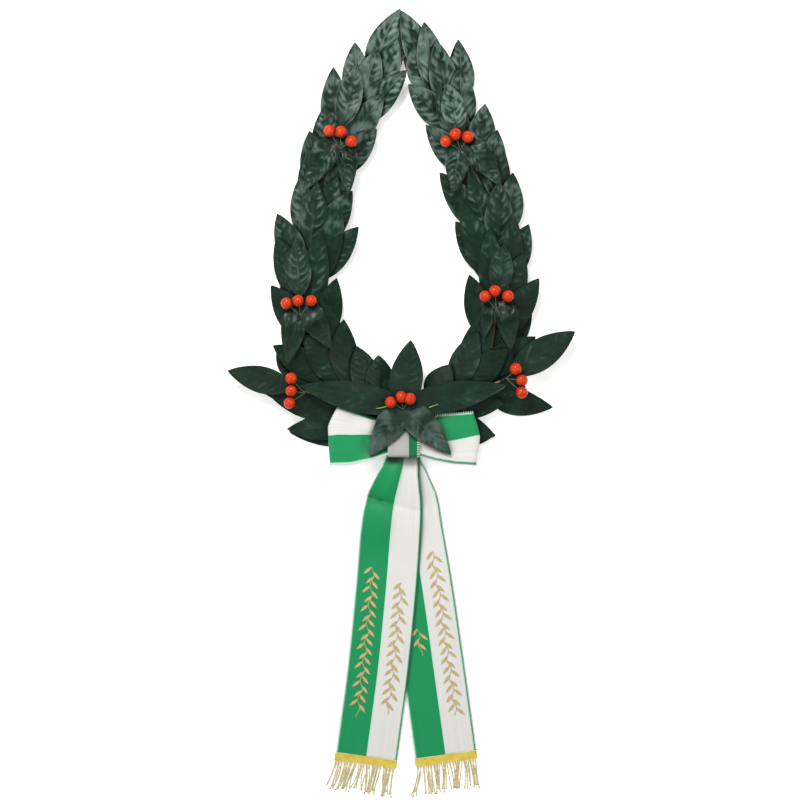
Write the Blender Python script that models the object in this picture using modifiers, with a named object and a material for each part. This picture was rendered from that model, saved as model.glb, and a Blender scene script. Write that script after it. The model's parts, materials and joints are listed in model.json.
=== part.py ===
"""Laurel wreath with berries, bow and two ribbon tails, lying on its back.

Metres, +Z up. The wreath faces up, its point towards +Y and its tails towards -Y.
The origin is on the flat underside of the hoop, at the middle of its lower arc.
The sizes below are in millimetres; MM turns them into metres.
"""
import math

import bmesh
import bpy
from mathutils import Vector

MM = 0.001
FIT_GAP = 0.3
WELD = 0.00001

# Hoop: half of its centre line, from the lower middle to the point
HOOP_RADIUS = 2.5
HOOP_FACET = math.cos(math.pi / 8)
HOOP_CENTRE_Z = HOOP_RADIUS * HOOP_FACET
HOOP_HALF = [(0, 0), (35, 6), (66, 23), (92, 52), (108, 86), (113, 127), (109, 167), (101, 207),
             (90, 253), (76, 293), (61, 322), (46, 343), (29, 362), (11, 382), (3, 402), (3, 430)]
HOOP_CROWN = [(2.1, 432.1), (0, 433)]
HOOP_STEPS = 2
GUIDE_STEPS = 12
GUIDE_EXTENSION = 60
GUIDE_SPACING = 2.5
GUIDE_BLUR = 15

# Leaves: each rises along its branch, so that it lies over the roots of the next ones
LEAF_THICKNESS = 0.7
LEAF_ROWS = 5
LEAF_WIDTH = 33
STALK_SHARE = 0.12
STALK_HALF_WIDTH = 1.1
TIP_HALF_WIDTH = 0.4
OVAL_SKEW = 0.9
OVAL_FULLNESS = 0.8
ROW_SKEW = 0.9
RISE = 0.17
ARCH_DROP = 4
ARCH_REACH = 30
TWIG_RADIUS = 1.0
TWIG_SIDES = 6
TWIG_OVERHANG = 4
TWIG_STEP = 12
TWIG_Z = 2 * HOOP_CENTRE_Z + FIT_GAP + TWIG_RADIUS

# Leaves of each branch, in twigs: how far along the hoop the root sits, then the tip's x and y,
# then for a curved leaf how far its middle bows to the left of the way from root to tip
LEFT_SPRIGS = [
    [(20, -66, -6), (26, -28, 63), (33, -53, 73), (41, -133, -22, 10), (45, -152, 16, 8)],
    [(57, -68, 104, 6), (65, -114, 86), (68, -92, 124)],
    [(80, -149, 74), (88, -167, 25, 6)],
    [(124, -76, 151), (131, -151, 143)],
    [(152, -95, 205), (159, -135, 170)],
    [(173, -145, 198), (180, -70, 232)],
    [(200, -51, 210), (207, -144, 225)],
    [(228, -98, 261), (235, -58, 251), (242, -118, 267), (249, -75, 267)],
    [(270, -108, 300), (277, -55, 296)],
    [(296, -107, 320)],
    [(326, -30, 322), (333, -90, 348)],
    [(352, -22, 362), (359, -80, 393)],
    [(378, -58, 380), (385, 4, 389)],
    [(402, -29, 414), (409, -55, 421)],
    [(424, -6, 424), (438, -6, 459, 9)],
    [(452, -4, 452)],
]
RIGHT_SPRIGS = [
    [(20, 64, -7), (26, 54, 52), (33, 115, 7), (40, 106, -30)],
    [(54, 86, 90), (62, 120, 70), (68, 100, 118)],
    [(82, 152, 84), (90, 172, 3, -8)],
    [(128, 76, 155), (135, 156, 151)],
    [(152, 98, 208), (159, 138, 180)],
    [(176, 128, 222), (183, 66, 240)],
    [(197, 144, 213), (204, 60, 216)],
    [(228, 110, 262), (240, 76, 267), (247, 126, 272, -5), (254, 42, 272)],
    [(272, 112, 304), (279, 50, 292)],
    [(298, 108, 321)],
    [(326, 26, 326), (333, 94, 351)],
    [(352, 40, 372)],
    [(374, 65, 394), (381, 6, 373)],
    [(399, 38, 423), (406, 63, 424, -7)],
    [(424, 24, 444), (431, 12, 420)],
    [(443, -2, 457, -5)],
]

# Berry sprays: a stem that starts beside the hoop and ends on top of the foliage, then for each
# leaf from the stem's end its tip, its width and how far it lifts
TOP_Z = 25
SPRAY_RADIUS = 1.1
SPRAY_STEPS = 3
SPRAY_ROOT_DROP = 0.5
SPRAY_ROOT_SPREAD = 0.35
SPRAY_LIFT_SHARE = 0.25
SPRAYS = {
    "spray_left_upper": {
        "stem": [(-90, 249, 6.4), (-87, 258, 9.5), (-79, 285, 17), (-72, 312, TOP_Z)],
        "leaves": [((-53, 398), 30, 0), ((-113, 251), 38, 1), ((-63, 245), 34, 2)]},
    "spray_right_upper": {
        "stem": [(90, 249, 6.4), (86, 258, 9.5), (76, 285, 17), (66, 310, TOP_Z)],
        "leaves": [((51, 374), 28, 0), ((57, 248), 32, 1), ((112, 256), 38, 2)]},
    "spray_left_lower": {
        "stem": [(-93, 53, 6.4), (-99, 66, 9), (-107, 90, 15), (-117, 121, TOP_Z)],
        "leaves": [((-123, 192), 30, 0), ((-132, 52), 32, 1), ((-82, 70), 32, 2)]},
    "spray_right_lower": {
        "stem": [(93, 53, 6.4), (99, 66, 9), (104, 90, 15), (107, 126, TOP_Z)],
        "leaves": [((116, 189), 28, 0), ((93, 82), 24, 1), ((123, 68), 34, 2)]},
    "spray_left_end": {
        "stem": [(-21.5, 6.5, 3.5), (-21.5, 7, 12), (-30, 8, 20), (-70, 12, 22), (-114, 22, 21)],
        "leaves": [((-201, 45), 31, 0)]},
    "spray_right_end": {
        "stem": [(21.5, 6.5, 3.5), (21.5, 7, 12), (30, 8, 20), (70, 17, 22), (111, 33, 21)],
        "leaves": [((197, 90), 36, 0)]},
    "spray_middle": {
        "stem": [(0, 4, 3.5), (0, 5, 10), (0, 5.5, 18), (0, 4, TOP_Z)],
        "leaves": [((9, 80), 34, 0), ((-118, 28), 34, 1.5), ((118, 28), 34, 2), ((-38, -53), 32, 0.5),
                   ((55, -51), 34, 1)]},
}

# Berries: three to a cluster, each on a short wire that runs to the cluster's root
BERRY_RADIUS = 7
WIRE_RADIUS = 0.8
WIRE_SIDES = 4
CLUSTERS = {
    "berries_left_upper": {"berries": [(-84, 319), (-71, 318), (-59, 307)], "level": 34,
                           "root": (-72, 298, 28)},
    "berries_right_upper": {"berries": [(49, 307), (60, 315), (74, 312)], "level": 34,
                            "root": (66, 297, 26.9)},
    "berries_left_lower": {"berries": [(-133, 122), (-120, 125), (-105, 125)], "level": 34,
                           "root": (-117, 108, 27.7)},
    "berries_right_lower": {"berries": [(94, 130), (105, 136), (120, 130)], "level": 34,
                            "root": (107, 114, 28)},
    "berries_left_end": {"berries": [(-128, 36), (-128, 22), (-130, 8)], "level": 29.5,
                         "root": (-112.5, 19.2, 22.1)},
    "berries_right_end": {"berries": [(129, 47), (136, 34), (136, 20)], "level": 29.5,
                          "root": (118, 36, 22.1)},
    "berries_middle": {"berries": [(-14, 9), (-2, 15), (8, 13)], "level": 33.4, "root": (0, 1, 27.4)},
}

# Bow: two flattened loops held by a band
RIBBON_THICKNESS = 0.8
LOOP_INNER_END = 4
LOOP_LOW_Z = 12
LOOP_HIGH_Z = 21.5
LOOP_GRID = (20, 4)
LEFT_LOOP = {"reach": 86, "top": [(0, -12), (17, -14), (37, -10), (75, 4), (90, 5)],
             "bottom": [(0, -48), (17, -50), (37, -56), (60, -61), (90, -62)]}
RIGHT_LOOP = {"reach": 88, "top": [(0, -12), (17, -14), (41, -6), (82, -3), (92, -3)],
              "bottom": [(0, -48), (18, -50), (37, -56), (60, -60), (92, -62)]}
BAND_HALF_WIDTH = 17.5
BAND_THICKNESS = 1.0
BAND_Y = (-54.5, -3.5)
BAND_Z = (7.4, 23.6)
BAND_CORNER = 5
BAND_SIDES = 24

# Tails: middle line and width at each place down the ribbon
LEFT_TAIL = [(-1, -12, 6.6, 34), (-1, -54, 6.4, 36), (-6, -80, 5.6, 50), (-10.5, -104, 3.4, 63),
             (-13.5, -140, 2.0, 68), (-18.5, -207, 1.9, 69), (-28, -300, 1.9, 69), (-41, -398, 0.5, 69)]
RIGHT_TAIL = [(1, -12, 5.0, 34), (1, -54, 4.8, 36), (4, -80, 4.0, 52), (6.5, -104, 1.8, 66),
              (11, -140, 0.6, 69), (22.5, -207, 0.5, 69), (36, -300, 0.5, 69), (49.5, -396, 0.5, 69)]
TAIL_STEPS = 12
TAIL_GRID = (26, 4)
BRAID_DEPTH = 9
BRAID_THICKNESS = 1.8
BRAID_OVERHANG = 1
FRINGE_LENGTH = 36
FRINGE_HEADER = 3
FRINGE_THICKNESS = 1.0
THREAD_COUNT = 24
THREAD_START = 1.5
THREAD_WIDTH = 1.7
THREAD_THICKNESS = 0.9
THREAD_LEAN = -3

COLOURS = {
    "hoop_wrap": ((0.20, 0.17, 0.14), 0.8),
    "leaf": ((0.03, 0.09, 0.05), 0.45),
    "berry": ((0.72, 0.03, 0.01), 0.25),
    "ribbon": ((0.02, 0.35, 0.13), 0.6),
    "band": ((0.80, 0.78, 0.72), 0.6),
    "braid": ((0.75, 0.56, 0.07), 0.55),
    "fringe": ((0.62, 0.45, 0.18), 0.7),
}


def catmull(points, steps):
    """Points of a smooth curve through the given ones, with as many steps between each pair."""
    known = [Vector(p) for p in points]
    known = [2 * known[0] - known[1]] + known + [2 * known[-1] - known[-2]]
    smooth = []
    for index in range(1, len(known) - 2):
        a, b, c, d = known[index - 1:index + 3]
        for step in range(steps):
            t = step / steps
            smooth.append(0.5 * (2 * b + (c - a) * t + (2 * a - 5 * b + 4 * c - d) * t ** 2
                                 + (3 * b - 3 * c + d - a) * t ** 3))
    smooth.append(known[-2])
    return smooth


class Guide:
    """The hoop's half line, read as a distance along it and a distance beside it."""

    def __init__(self):
        rough = catmull(HOOP_HALF, GUIDE_STEPS)
        rough.append(rough[-1] + Vector((0, GUIDE_EXTENSION)))
        self.points = [rough[0]]
        for before, after in zip(rough, rough[1:]):
            pieces = max(1, round((after - before).length / GUIDE_SPACING))
            self.points.extend(before.lerp(after, step / pieces) for step in range(1, pieces + 1))
        self.along = [0.0]
        for before, after in zip(self.points, self.points[1:]):
            self.along.append(self.along[-1] + (after - before).length)

    def at(self, distance):
        """The point that lies this far along the half line."""
        for index in range(1, len(self.points)):
            if self.along[index] >= distance:
                part = (distance - self.along[index - 1]) / (self.along[index] - self.along[index - 1])
                return self.points[index - 1].lerp(self.points[index], part)
        return self.points[-1].copy()

    def read(self, x, y):
        """How far along the half line a point lies, blurred a little, and how far beside it."""
        place = Vector((abs(x), y))
        squares = [(place - point).length_squared for point in self.points]
        nearest = min(squares)
        weights = [math.exp((nearest - square) / GUIDE_BLUR ** 2) for square in squares]
        along = sum(w * s for w, s in zip(weights, self.along)) / sum(weights)
        return along, math.sqrt(nearest)


GUIDE = Guide()


def foliage_height(x, y, root_along):
    """Height over one place of the blade whose root reads this far along the guide."""
    along, beside = GUIDE.read(x, y)
    arch = ARCH_DROP * (1 - math.exp(-(beside / ARCH_REACH) ** 2))
    return TWIG_Z + RISE * (along - root_along) - arch


def collection(name):
    """A new collection in the scene."""
    made = bpy.data.collections.new(name)
    bpy.context.scene.collection.children.link(made)
    return made


def material(name):
    """The named material, made once."""
    found = bpy.data.materials.get(name)
    if found:
        return found
    colour, roughness = COLOURS[name]
    made = bpy.data.materials.new(name)
    made.use_nodes = True
    surface = made.node_tree.nodes["Principled BSDF"]
    surface.inputs["Base Color"].default_value = (*colour, 1)
    surface.inputs["Roughness"].default_value = roughness
    surface.inputs["Metallic"].default_value = 0
    return made


def place_in(obj, name, slot, group):
    """Names an object, gives it its material and moves it to its collection."""
    obj.name = name
    obj.data.name = name
    obj.data.materials.clear()
    obj.data.materials.append(material(slot))
    for owner in list(obj.users_collection):
        owner.objects.unlink(obj)
    group.objects.link(obj)
    return obj


def freeze(obj, weld=0.0):
    """Replaces an object's mesh or curve by the mesh that its modifiers give, and welds its caps."""
    graph = bpy.context.evaluated_depsgraph_get()
    mesh = bpy.data.meshes.new_from_object(obj.evaluated_get(graph))
    if weld:
        solid = bmesh.new()
        solid.from_mesh(mesh)
        bmesh.ops.remove_doubles(solid, verts=solid.verts, dist=weld)
        solid.to_mesh(mesh)
        solid.free()
    fresh = bpy.data.objects.new(obj.name, mesh)
    fresh.matrix_world = obj.matrix_world
    bpy.context.scene.collection.objects.link(fresh)
    bpy.data.objects.remove(obj)
    return fresh


def tube(points, radius, sides=8, tilt=0.0, closed=False):
    """A round bar through points in mm, as a mesh."""
    line = bpy.data.curves.new("line", "CURVE")
    line.dimensions = "3D"
    line.bevel_depth = radius * MM
    line.bevel_resolution = sides // 2 - 2
    line.use_fill_caps = not closed
    spline = line.splines.new("POLY")
    spline.points.add(len(points) - 1)
    for knot, point in zip(spline.points, points):
        knot.co = (*(Vector(point) * MM), 1)
        knot.tilt = tilt
    spline.use_cyclic_u = closed
    line.twist_mode = "Z_UP"
    obj = bpy.data.objects.new("line", line)
    bpy.context.scene.collection.objects.link(obj)
    return freeze(obj, WELD)


def sheet(columns, rows, place, thickness, closed=False):
    """A thin sheet: a grid whose points a rule places in mm, given thickness on both sides."""
    bpy.ops.mesh.primitive_grid_add(x_subdivisions=columns, y_subdivisions=rows, size=2)
    obj = bpy.context.active_object
    for vertex in obj.data.vertices:
        across = (vertex.co.x + 1) / 2
        along = (vertex.co.y + 1) / 2
        vertex.co = Vector(place(along, across)) * MM
    mesh = bmesh.new()
    mesh.from_mesh(obj.data)
    if closed:
        bmesh.ops.remove_doubles(mesh, verts=mesh.verts, dist=WELD)
    bmesh.ops.triangulate(mesh, faces=mesh.faces, quad_method="FIXED")
    mesh.to_mesh(obj.data)
    mesh.free()
    skin = obj.modifiers.new("thickness", "SOLIDIFY")
    skin.thickness = thickness * MM
    skin.offset = 0
    return freeze(obj)


def blade_half_width(share, width):
    """Half width of a laurel leaf at a share of its length: a stalk, then a pointed oval."""
    if share <= STALK_SHARE:
        return STALK_HALF_WIDTH
    blade = (share - STALK_SHARE) / (1 - STALK_SHARE)
    oval = math.sin(math.pi * blade ** OVAL_SKEW) ** OVAL_FULLNESS
    return max(0.5 * width * oval, STALK_HALF_WIDTH if blade < 0.5 else TIP_HALF_WIDTH)


def leaf(root, tip, width, height, bow=0.0):
    """One blade from its root to its tip, at the height that a rule gives over each place."""
    start = Vector(root)
    run = Vector(tip) - start
    side = Vector((-run.y, run.x)).normalized()

    def place(along, across):
        share = along ** ROW_SKEW
        half = blade_half_width(share, width)
        spot = start + run * share + side * (bow * 4 * share * (1 - share) + (2 * across - 1) * half)
        return (spot.x, spot.y, height(spot.x, spot.y, share))

    return sheet(2, LEAF_ROWS, place, LEAF_THICKNESS)


def keep_main_body(obj):
    """Drops what a union leaves loose: scraps, and the inner skins of hollows that it sealed."""
    solid = bmesh.new()
    solid.from_mesh(obj.data)
    waiting = set(solid.verts)
    bodies = []
    while waiting:
        body = {waiting.pop()}
        edge_of_body = list(body)
        while edge_of_body:
            vertex = edge_of_body.pop()
            near = {edge.other_vert(vertex) for edge in vertex.link_edges} - body
            body |= near
            edge_of_body.extend(near)
        waiting -= body
        bodies.append(body)
    main_body = max(bodies, key=len)
    bmesh.ops.delete(solid, geom=[v for v in solid.verts if v not in main_body], context="VERTS")
    solid.to_mesh(obj.data)
    solid.free()


def join(base, others, name, slot, group, solver="EXACT"):
    """One Boolean union of a base with the repeats that grow from it."""
    repeats = collection(name + "_repeats")
    for other in others:
        place_in(other, "repeat", slot, repeats)
    union = base.modifiers.new("union", "BOOLEAN")
    union.operation = "UNION"
    union.operand_type = "COLLECTION"
    union.collection = repeats
    union.solver = solver
    solid = freeze(base)
    keep_main_body(solid)
    for other in list(repeats.objects):
        bpy.data.objects.remove(other)
    bpy.data.collections.remove(repeats)
    return place_in(solid, name, slot, group)


def make_hoop(group):
    """The wire hoop in its wrap, with a flat facet all round its underside."""
    flat = catmull(HOOP_HALF, HOOP_STEPS) + [Vector(point) for point in HOOP_CROWN]
    right = [Vector((p.x, p.y, HOOP_CENTRE_Z)) for p in flat]
    left = [Vector((-p.x, p.y, p.z)) for p in reversed(right[1:-1])]
    hoop = tube(right + left, HOOP_RADIUS, 8, math.pi / 8, True)
    return place_in(hoop, "hoop", "hoop_wrap", group)


def make_twig(side, roots):
    """The twig that carries some leaves, along the top of the hoop."""
    first = roots[0] - TWIG_OVERHANG
    last = roots[-1] + TWIG_OVERHANG
    count = max(2, int((last - first) / TWIG_STEP) + 1)
    points = []
    for step in range(count + 1):
        spot = GUIDE.at(first + (last - first) * step / count)
        points.append((side * spot.x, spot.y, TWIG_Z))
    return tube(points, TWIG_RADIUS, TWIG_SIDES)


def make_sprig(name, side, entries, group):
    """A twig with the leaves that are wired to it."""
    blades = []
    for root, tip_x, tip_y, *bow in entries:
        foot = GUIDE.at(root)
        start = GUIDE.read(foot.x, foot.y)[0]
        blades.append(leaf((side * foot.x, foot.y), (tip_x, tip_y), LEAF_WIDTH,
                           lambda x, y, share, start=start: foliage_height(x, y, start), sum(bow)))
    twig = make_twig(side, [entry[0] for entry in entries])
    return join(twig, blades, name, "leaf", group)


def spray_height(level, lift, share):
    """Height of a spray's blade: sunk in the stem at its root, then lifted clear of its neighbours."""
    lifted = min(1, share / SPRAY_LIFT_SHARE)
    return level - SPRAY_ROOT_DROP + lift * (SPRAY_ROOT_SPREAD + (1 - SPRAY_ROOT_SPREAD) * lifted)


def make_spray(name, plan, group):
    """A spray that lies on top of the foliage, on a stem that starts beside the hoop."""
    top = Vector(plan["stem"][-1])
    blades = []
    for tip, width, lift in plan["leaves"]:
        blades.append(leaf(top.xy, tip, width, lambda x, y, share, lift=lift: spray_height(top.z, lift, share)))
    stem = tube(catmull(plan["stem"], SPRAY_STEPS), SPRAY_RADIUS, TWIG_SIDES)
    return join(stem, blades, name, "leaf", group, "MANIFOLD")


def make_berries(name, plan, group):
    """Three berries and the wires that hold them."""
    root = Vector(plan["root"])
    parts = []
    for x, y in plan["berries"]:
        middle = Vector((x, y, plan["level"]))
        bpy.ops.mesh.primitive_ico_sphere_add(subdivisions=2, radius=BERRY_RADIUS * MM, location=middle * MM)
        parts.append(freeze(bpy.context.active_object))
        parts.append(tube([root, middle], WIRE_RADIUS, WIRE_SIDES))
    return join(parts[0], parts[1:], name, "berry", group)


def read_table(table, x):
    """A value between the rows of a short table, on straight lines."""
    for (x0, y0), (x1, y1) in zip(table, table[1:]):
        if x <= x1:
            return y0 + (y1 - y0) * (x - x0) / (x1 - x0)
    return table[-1][1]


def make_loop(name, side, plan, group):
    """One bow loop: a ribbon that runs out low, turns over and comes back high."""
    reach = plan["reach"]
    turn = (LOOP_HIGH_Z - LOOP_LOW_Z) / 2
    straight = reach - turn - LOOP_INNER_END
    length = 2 * straight + math.pi * turn

    def path(distance):
        if distance < straight:
            return LOOP_INNER_END + distance, LOOP_LOW_Z
        if distance > length - straight:
            return LOOP_INNER_END + length - distance, LOOP_HIGH_Z
        angle = (distance - straight) / turn
        return reach - turn + turn * math.sin(angle), (LOOP_LOW_Z + LOOP_HIGH_Z) / 2 - turn * math.cos(angle)

    def place(along, across):
        x, z = path(along * length)
        low = read_table(plan["bottom"], x)
        high = read_table(plan["top"], x)
        return (side * x, low + (high - low) * across, z)

    obj = sheet(LOOP_GRID[1], LOOP_GRID[0], place, RIBBON_THICKNESS)
    return place_in(obj, name, "ribbon", group)


def make_band(group):
    """The band of ribbon round the middle of the bow."""
    half_y = (BAND_Y[1] - BAND_Y[0] - BAND_THICKNESS) / 2 - BAND_CORNER
    half_z = (BAND_Z[1] - BAND_Z[0] - BAND_THICKNESS) / 2 - BAND_CORNER
    middle_y = (BAND_Y[0] + BAND_Y[1]) / 2
    middle_z = (BAND_Z[0] + BAND_Z[1]) / 2

    def place(along, across):
        angle = 2 * math.pi * (along + 0.5 / BAND_SIDES)
        y = math.copysign(half_y, math.cos(angle)) + BAND_CORNER * math.cos(angle)
        z = math.copysign(half_z, math.sin(angle)) + BAND_CORNER * math.sin(angle)
        return ((2 * across - 1) * BAND_HALF_WIDTH, middle_y + y, middle_z + z)

    obj = sheet(2, BAND_SIDES, place, BAND_THICKNESS, True)
    return place_in(obj, "bow_band", "band", group)


def tail_line(table):
    """The tail's middle line with its width, as smooth points."""
    middles = catmull([row[:3] for row in table], TAIL_STEPS)
    widths = catmull([(row[3], 0) for row in table], TAIL_STEPS)
    return [(middle, width.x) for middle, width in zip(middles, widths)]


def make_tail(name, table, group):
    """One ribbon tail, gathered under the bow and flat on the surface below."""
    line = tail_line(table)

    def place(along, across):
        spot = along * (len(line) - 1)
        index = min(int(spot), len(line) - 2)
        part = spot - index
        middle = line[index][0].lerp(line[index + 1][0], part)
        width = line[index][1] + (line[index + 1][1] - line[index][1]) * part
        run = line[index + 1][0] - line[index][0]
        side = Vector((-run.y, run.x, 0)).normalized()
        return middle + side * width * (0.5 - across)

    obj = sheet(TAIL_GRID[1], TAIL_GRID[0], place, RIBBON_THICKNESS)
    return place_in(obj, name, "ribbon", group)


def tail_end(table):
    """Where a tail ends, which way it points and how wide it is."""
    line = tail_line(table)
    run = (line[-1][0] - line[-2][0])
    run.z = 0
    return line[-1][0], run.normalized(), line[-1][1]


def box(size, centre, forward):
    """A box of a size in mm, its length turned along a direction."""
    bpy.ops.mesh.primitive_cube_add(size=1)
    obj = bpy.context.active_object
    obj.scale = Vector(size) * MM
    obj.location = Vector(centre) * MM
    obj.rotation_euler = (0, 0, math.atan2(forward.x, -forward.y))
    bpy.ops.object.transform_apply(location=False, rotation=False, scale=True)
    return obj


def make_braid(name, table, group):
    """The braid across a tail's end."""
    end, forward, width = tail_end(table)
    centre = end + forward * (FIT_GAP + BRAID_DEPTH / 2)
    centre.z = BRAID_THICKNESS / 2
    obj = box((width + 2 * BRAID_OVERHANG, BRAID_DEPTH, BRAID_THICKNESS), centre, forward)
    return place_in(obj, name, "braid", group)


def make_fringe(name, table, group):
    """The fringe below the braid: a header with flat threads."""
    end, forward, width = tail_end(table)
    side = Vector((-forward.y, forward.x, 0))
    start = end + forward * (2 * FIT_GAP + BRAID_DEPTH)
    start.z = FRINGE_THICKNESS / 2
    header = box((width, FRINGE_HEADER, FRINGE_THICKNESS), start + forward * FRINGE_HEADER / 2, forward)
    aim = (forward * FRINGE_LENGTH + Vector((THREAD_LEAN, 0, 0))).normalized()
    length = FRINGE_LENGTH - THREAD_START
    threads = []
    for number in range(THREAD_COUNT):
        offset = width * ((number + 0.5) / THREAD_COUNT - 0.5)
        centre = start + side * offset + forward * THREAD_START + aim * length / 2
        threads.append(box((THREAD_WIDTH, length, THREAD_THICKNESS), centre, aim))
    return join(header, threads, name, "fringe", group)


def main():
    for obj in list(bpy.data.objects):
        bpy.data.objects.remove(obj)
    wreath = collection("laurel_wreath")
    make_hoop(wreath)
    for label, side, sprigs in (("left", -1, LEFT_SPRIGS), ("right", 1, RIGHT_SPRIGS)):
        for number, entries in enumerate(sprigs, 1):
            make_sprig(f"sprig_{label}_{number:02d}", side, entries, wreath)
    for name, plan in SPRAYS.items():
        make_spray(name, plan, wreath)
    for name, plan in CLUSTERS.items():
        make_berries(name, plan, wreath)
    make_loop("bow_loop_left", -1, LEFT_LOOP, wreath)
    make_loop("bow_loop_right", 1, RIGHT_LOOP, wreath)
    make_band(wreath)
    for label, table in (("left", LEFT_TAIL), ("right", RIGHT_TAIL)):
        make_tail(f"tail_{label}", table, wreath)
        make_braid(f"braid_{label}", table, wreath)
        make_fringe(f"fringe_{label}", table, wreath)


main()
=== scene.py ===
"""Dresses the laurel wreath: veined leaves, berries, ribbon bow and tails, braid, fringe and stage.

Lengths in the tables and constants are in millimetres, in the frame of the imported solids: +Z up,
+Y towards the wreath's point, the origin under the middle of the hoop's lower arc.
"""
import json
import math
import random

import bmesh
import bpy
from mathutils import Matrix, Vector, noise

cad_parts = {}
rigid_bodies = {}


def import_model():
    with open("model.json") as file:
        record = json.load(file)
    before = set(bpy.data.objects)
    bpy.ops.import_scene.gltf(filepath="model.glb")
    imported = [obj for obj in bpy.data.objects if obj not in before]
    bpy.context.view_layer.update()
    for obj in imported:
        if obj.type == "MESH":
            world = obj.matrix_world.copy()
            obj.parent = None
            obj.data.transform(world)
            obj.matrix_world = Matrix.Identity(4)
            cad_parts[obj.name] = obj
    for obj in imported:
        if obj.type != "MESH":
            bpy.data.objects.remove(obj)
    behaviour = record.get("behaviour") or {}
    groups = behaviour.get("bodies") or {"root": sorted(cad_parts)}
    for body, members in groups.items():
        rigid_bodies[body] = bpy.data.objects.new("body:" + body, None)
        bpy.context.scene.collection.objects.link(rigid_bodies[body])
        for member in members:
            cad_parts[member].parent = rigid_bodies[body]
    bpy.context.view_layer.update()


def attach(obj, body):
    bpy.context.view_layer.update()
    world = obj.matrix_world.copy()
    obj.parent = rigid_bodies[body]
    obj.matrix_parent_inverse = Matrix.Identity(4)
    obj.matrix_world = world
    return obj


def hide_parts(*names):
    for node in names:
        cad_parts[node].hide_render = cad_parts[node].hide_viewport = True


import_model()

bl_info = {
    "name": "Laurel wreath",
    "version": (1, 0, 0),
    "blender": (4, 5, 0),
    "location": "View3D > Sidebar > Wreath",
    "description": "Dresses a laurel wreath with leaves, berries, bow, tails, braid and fringe",
    "category": "Object",
}

MM = 0.001
BODY = "root"
SMOOTH_ANGLE = math.radians(50)
MERGE_DISTANCE = 0.00001

# Hoop: half of its centre line, from the lower middle to the point
HOOP_RADIUS = 2.5
HOOP_CENTRE_Z = 2.31
HOOP_HALF = [(0, 0), (35, 6), (66, 23), (92, 52), (108, 86), (113, 127), (109, 167), (101, 207),
             (90, 253), (76, 293), (61, 322), (46, 343), (29, 362), (11, 382), (3, 402), (3, 430)]
HOOP_CROWN = [(2.1, 432.1), (0, 433)]
GUIDE_STEPS = 12
GUIDE_EXTENSION = 60
GUIDE_SPACING = 2.5
GUIDE_BLUR = 15
GUIDE_CUTOFF = 16
WRAP_LIFT = 0.15
WRAP_SPACING = 1.6
LAP_LENGTH = 9
LAP_HEIGHT = 0.3
GROUND = 0.0002

# Foliage: how the blades lie over each other along a branch
TWIG_Z = 5.92
TWIG_RADIUS = 1.0
TWIG_OVERHANG = 4
TWIG_STEP = 6
ARCH_DROP = 4
ARCH_REACH = 30
STALK_SHARE = 0.12
STALK_HALF_WIDTH = 1.1
TIP_HALF_WIDTH = 0.25
OVAL_SKEW = 0.9
OVAL_FULLNESS = 0.8

# Seeds of the random draws
FOLIAGE_SEED = 11
SPRAY_SEED = 23
BERRY_SEED = 5
FRINGE_SEEDS = {"left": 17, "right": 29}

# Leaves of each branch, in twigs: how far along the hoop the root sits, then the tip's x and y,
# then for a curved leaf how far its middle bows to the left of the way from root to tip
LEFT_SPRIGS = [
    [(20, -66, -6), (26, -28, 63), (33, -53, 73), (41, -133, -22, 10), (45, -152, 16, 8)],
    [(57, -68, 104, 6), (65, -114, 86), (68, -92, 124)],
    [(80, -149, 74), (88, -167, 25, 6)],
    [(124, -76, 151), (131, -151, 143)],
    [(152, -95, 205), (159, -135, 170)],
    [(173, -145, 198), (180, -70, 232)],
    [(200, -51, 210), (207, -144, 225)],
    [(228, -98, 261), (235, -58, 251), (242, -118, 267), (249, -75, 267)],
    [(270, -108, 300), (277, -55, 296)],
    [(296, -107, 320)],
    [(326, -30, 322), (333, -90, 348)],
    [(352, -22, 362), (359, -80, 393)],
    [(378, -58, 380), (385, 4, 389)],
    [(402, -29, 414), (409, -55, 421)],
    [(424, -6, 424, -2), (438, -3, 459, 9)],
    [(452, -3, 456)],
]
RIGHT_SPRIGS = [
    [(20, 64, -7), (26, 54, 52), (33, 115, 7), (40, 106, -30, -8)],
    [(54, 86, 90), (62, 120, 70), (68, 100, 118)],
    [(82, 152, 84), (90, 172, 3, -8)],
    [(128, 76, 155), (135, 156, 151)],
    [(152, 98, 208), (159, 138, 180)],
    [(176, 128, 222), (183, 66, 240)],
    [(197, 144, 213), (204, 60, 216)],
    [(228, 110, 262), (240, 76, 267), (247, 126, 272, -5), (254, 42, 272)],
    [(272, 112, 304), (279, 50, 292)],
    [(298, 108, 321)],
    [(326, 26, 326), (333, 94, 351)],
    [(352, 40, 372)],
    [(374, 65, 394), (381, 6, 373)],
    [(399, 38, 423), (406, 63, 424, -7)],
    [(424, 24, 444), (431, 12, 420, 3)],
    [(443, -2, 457, -5)],
]

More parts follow.
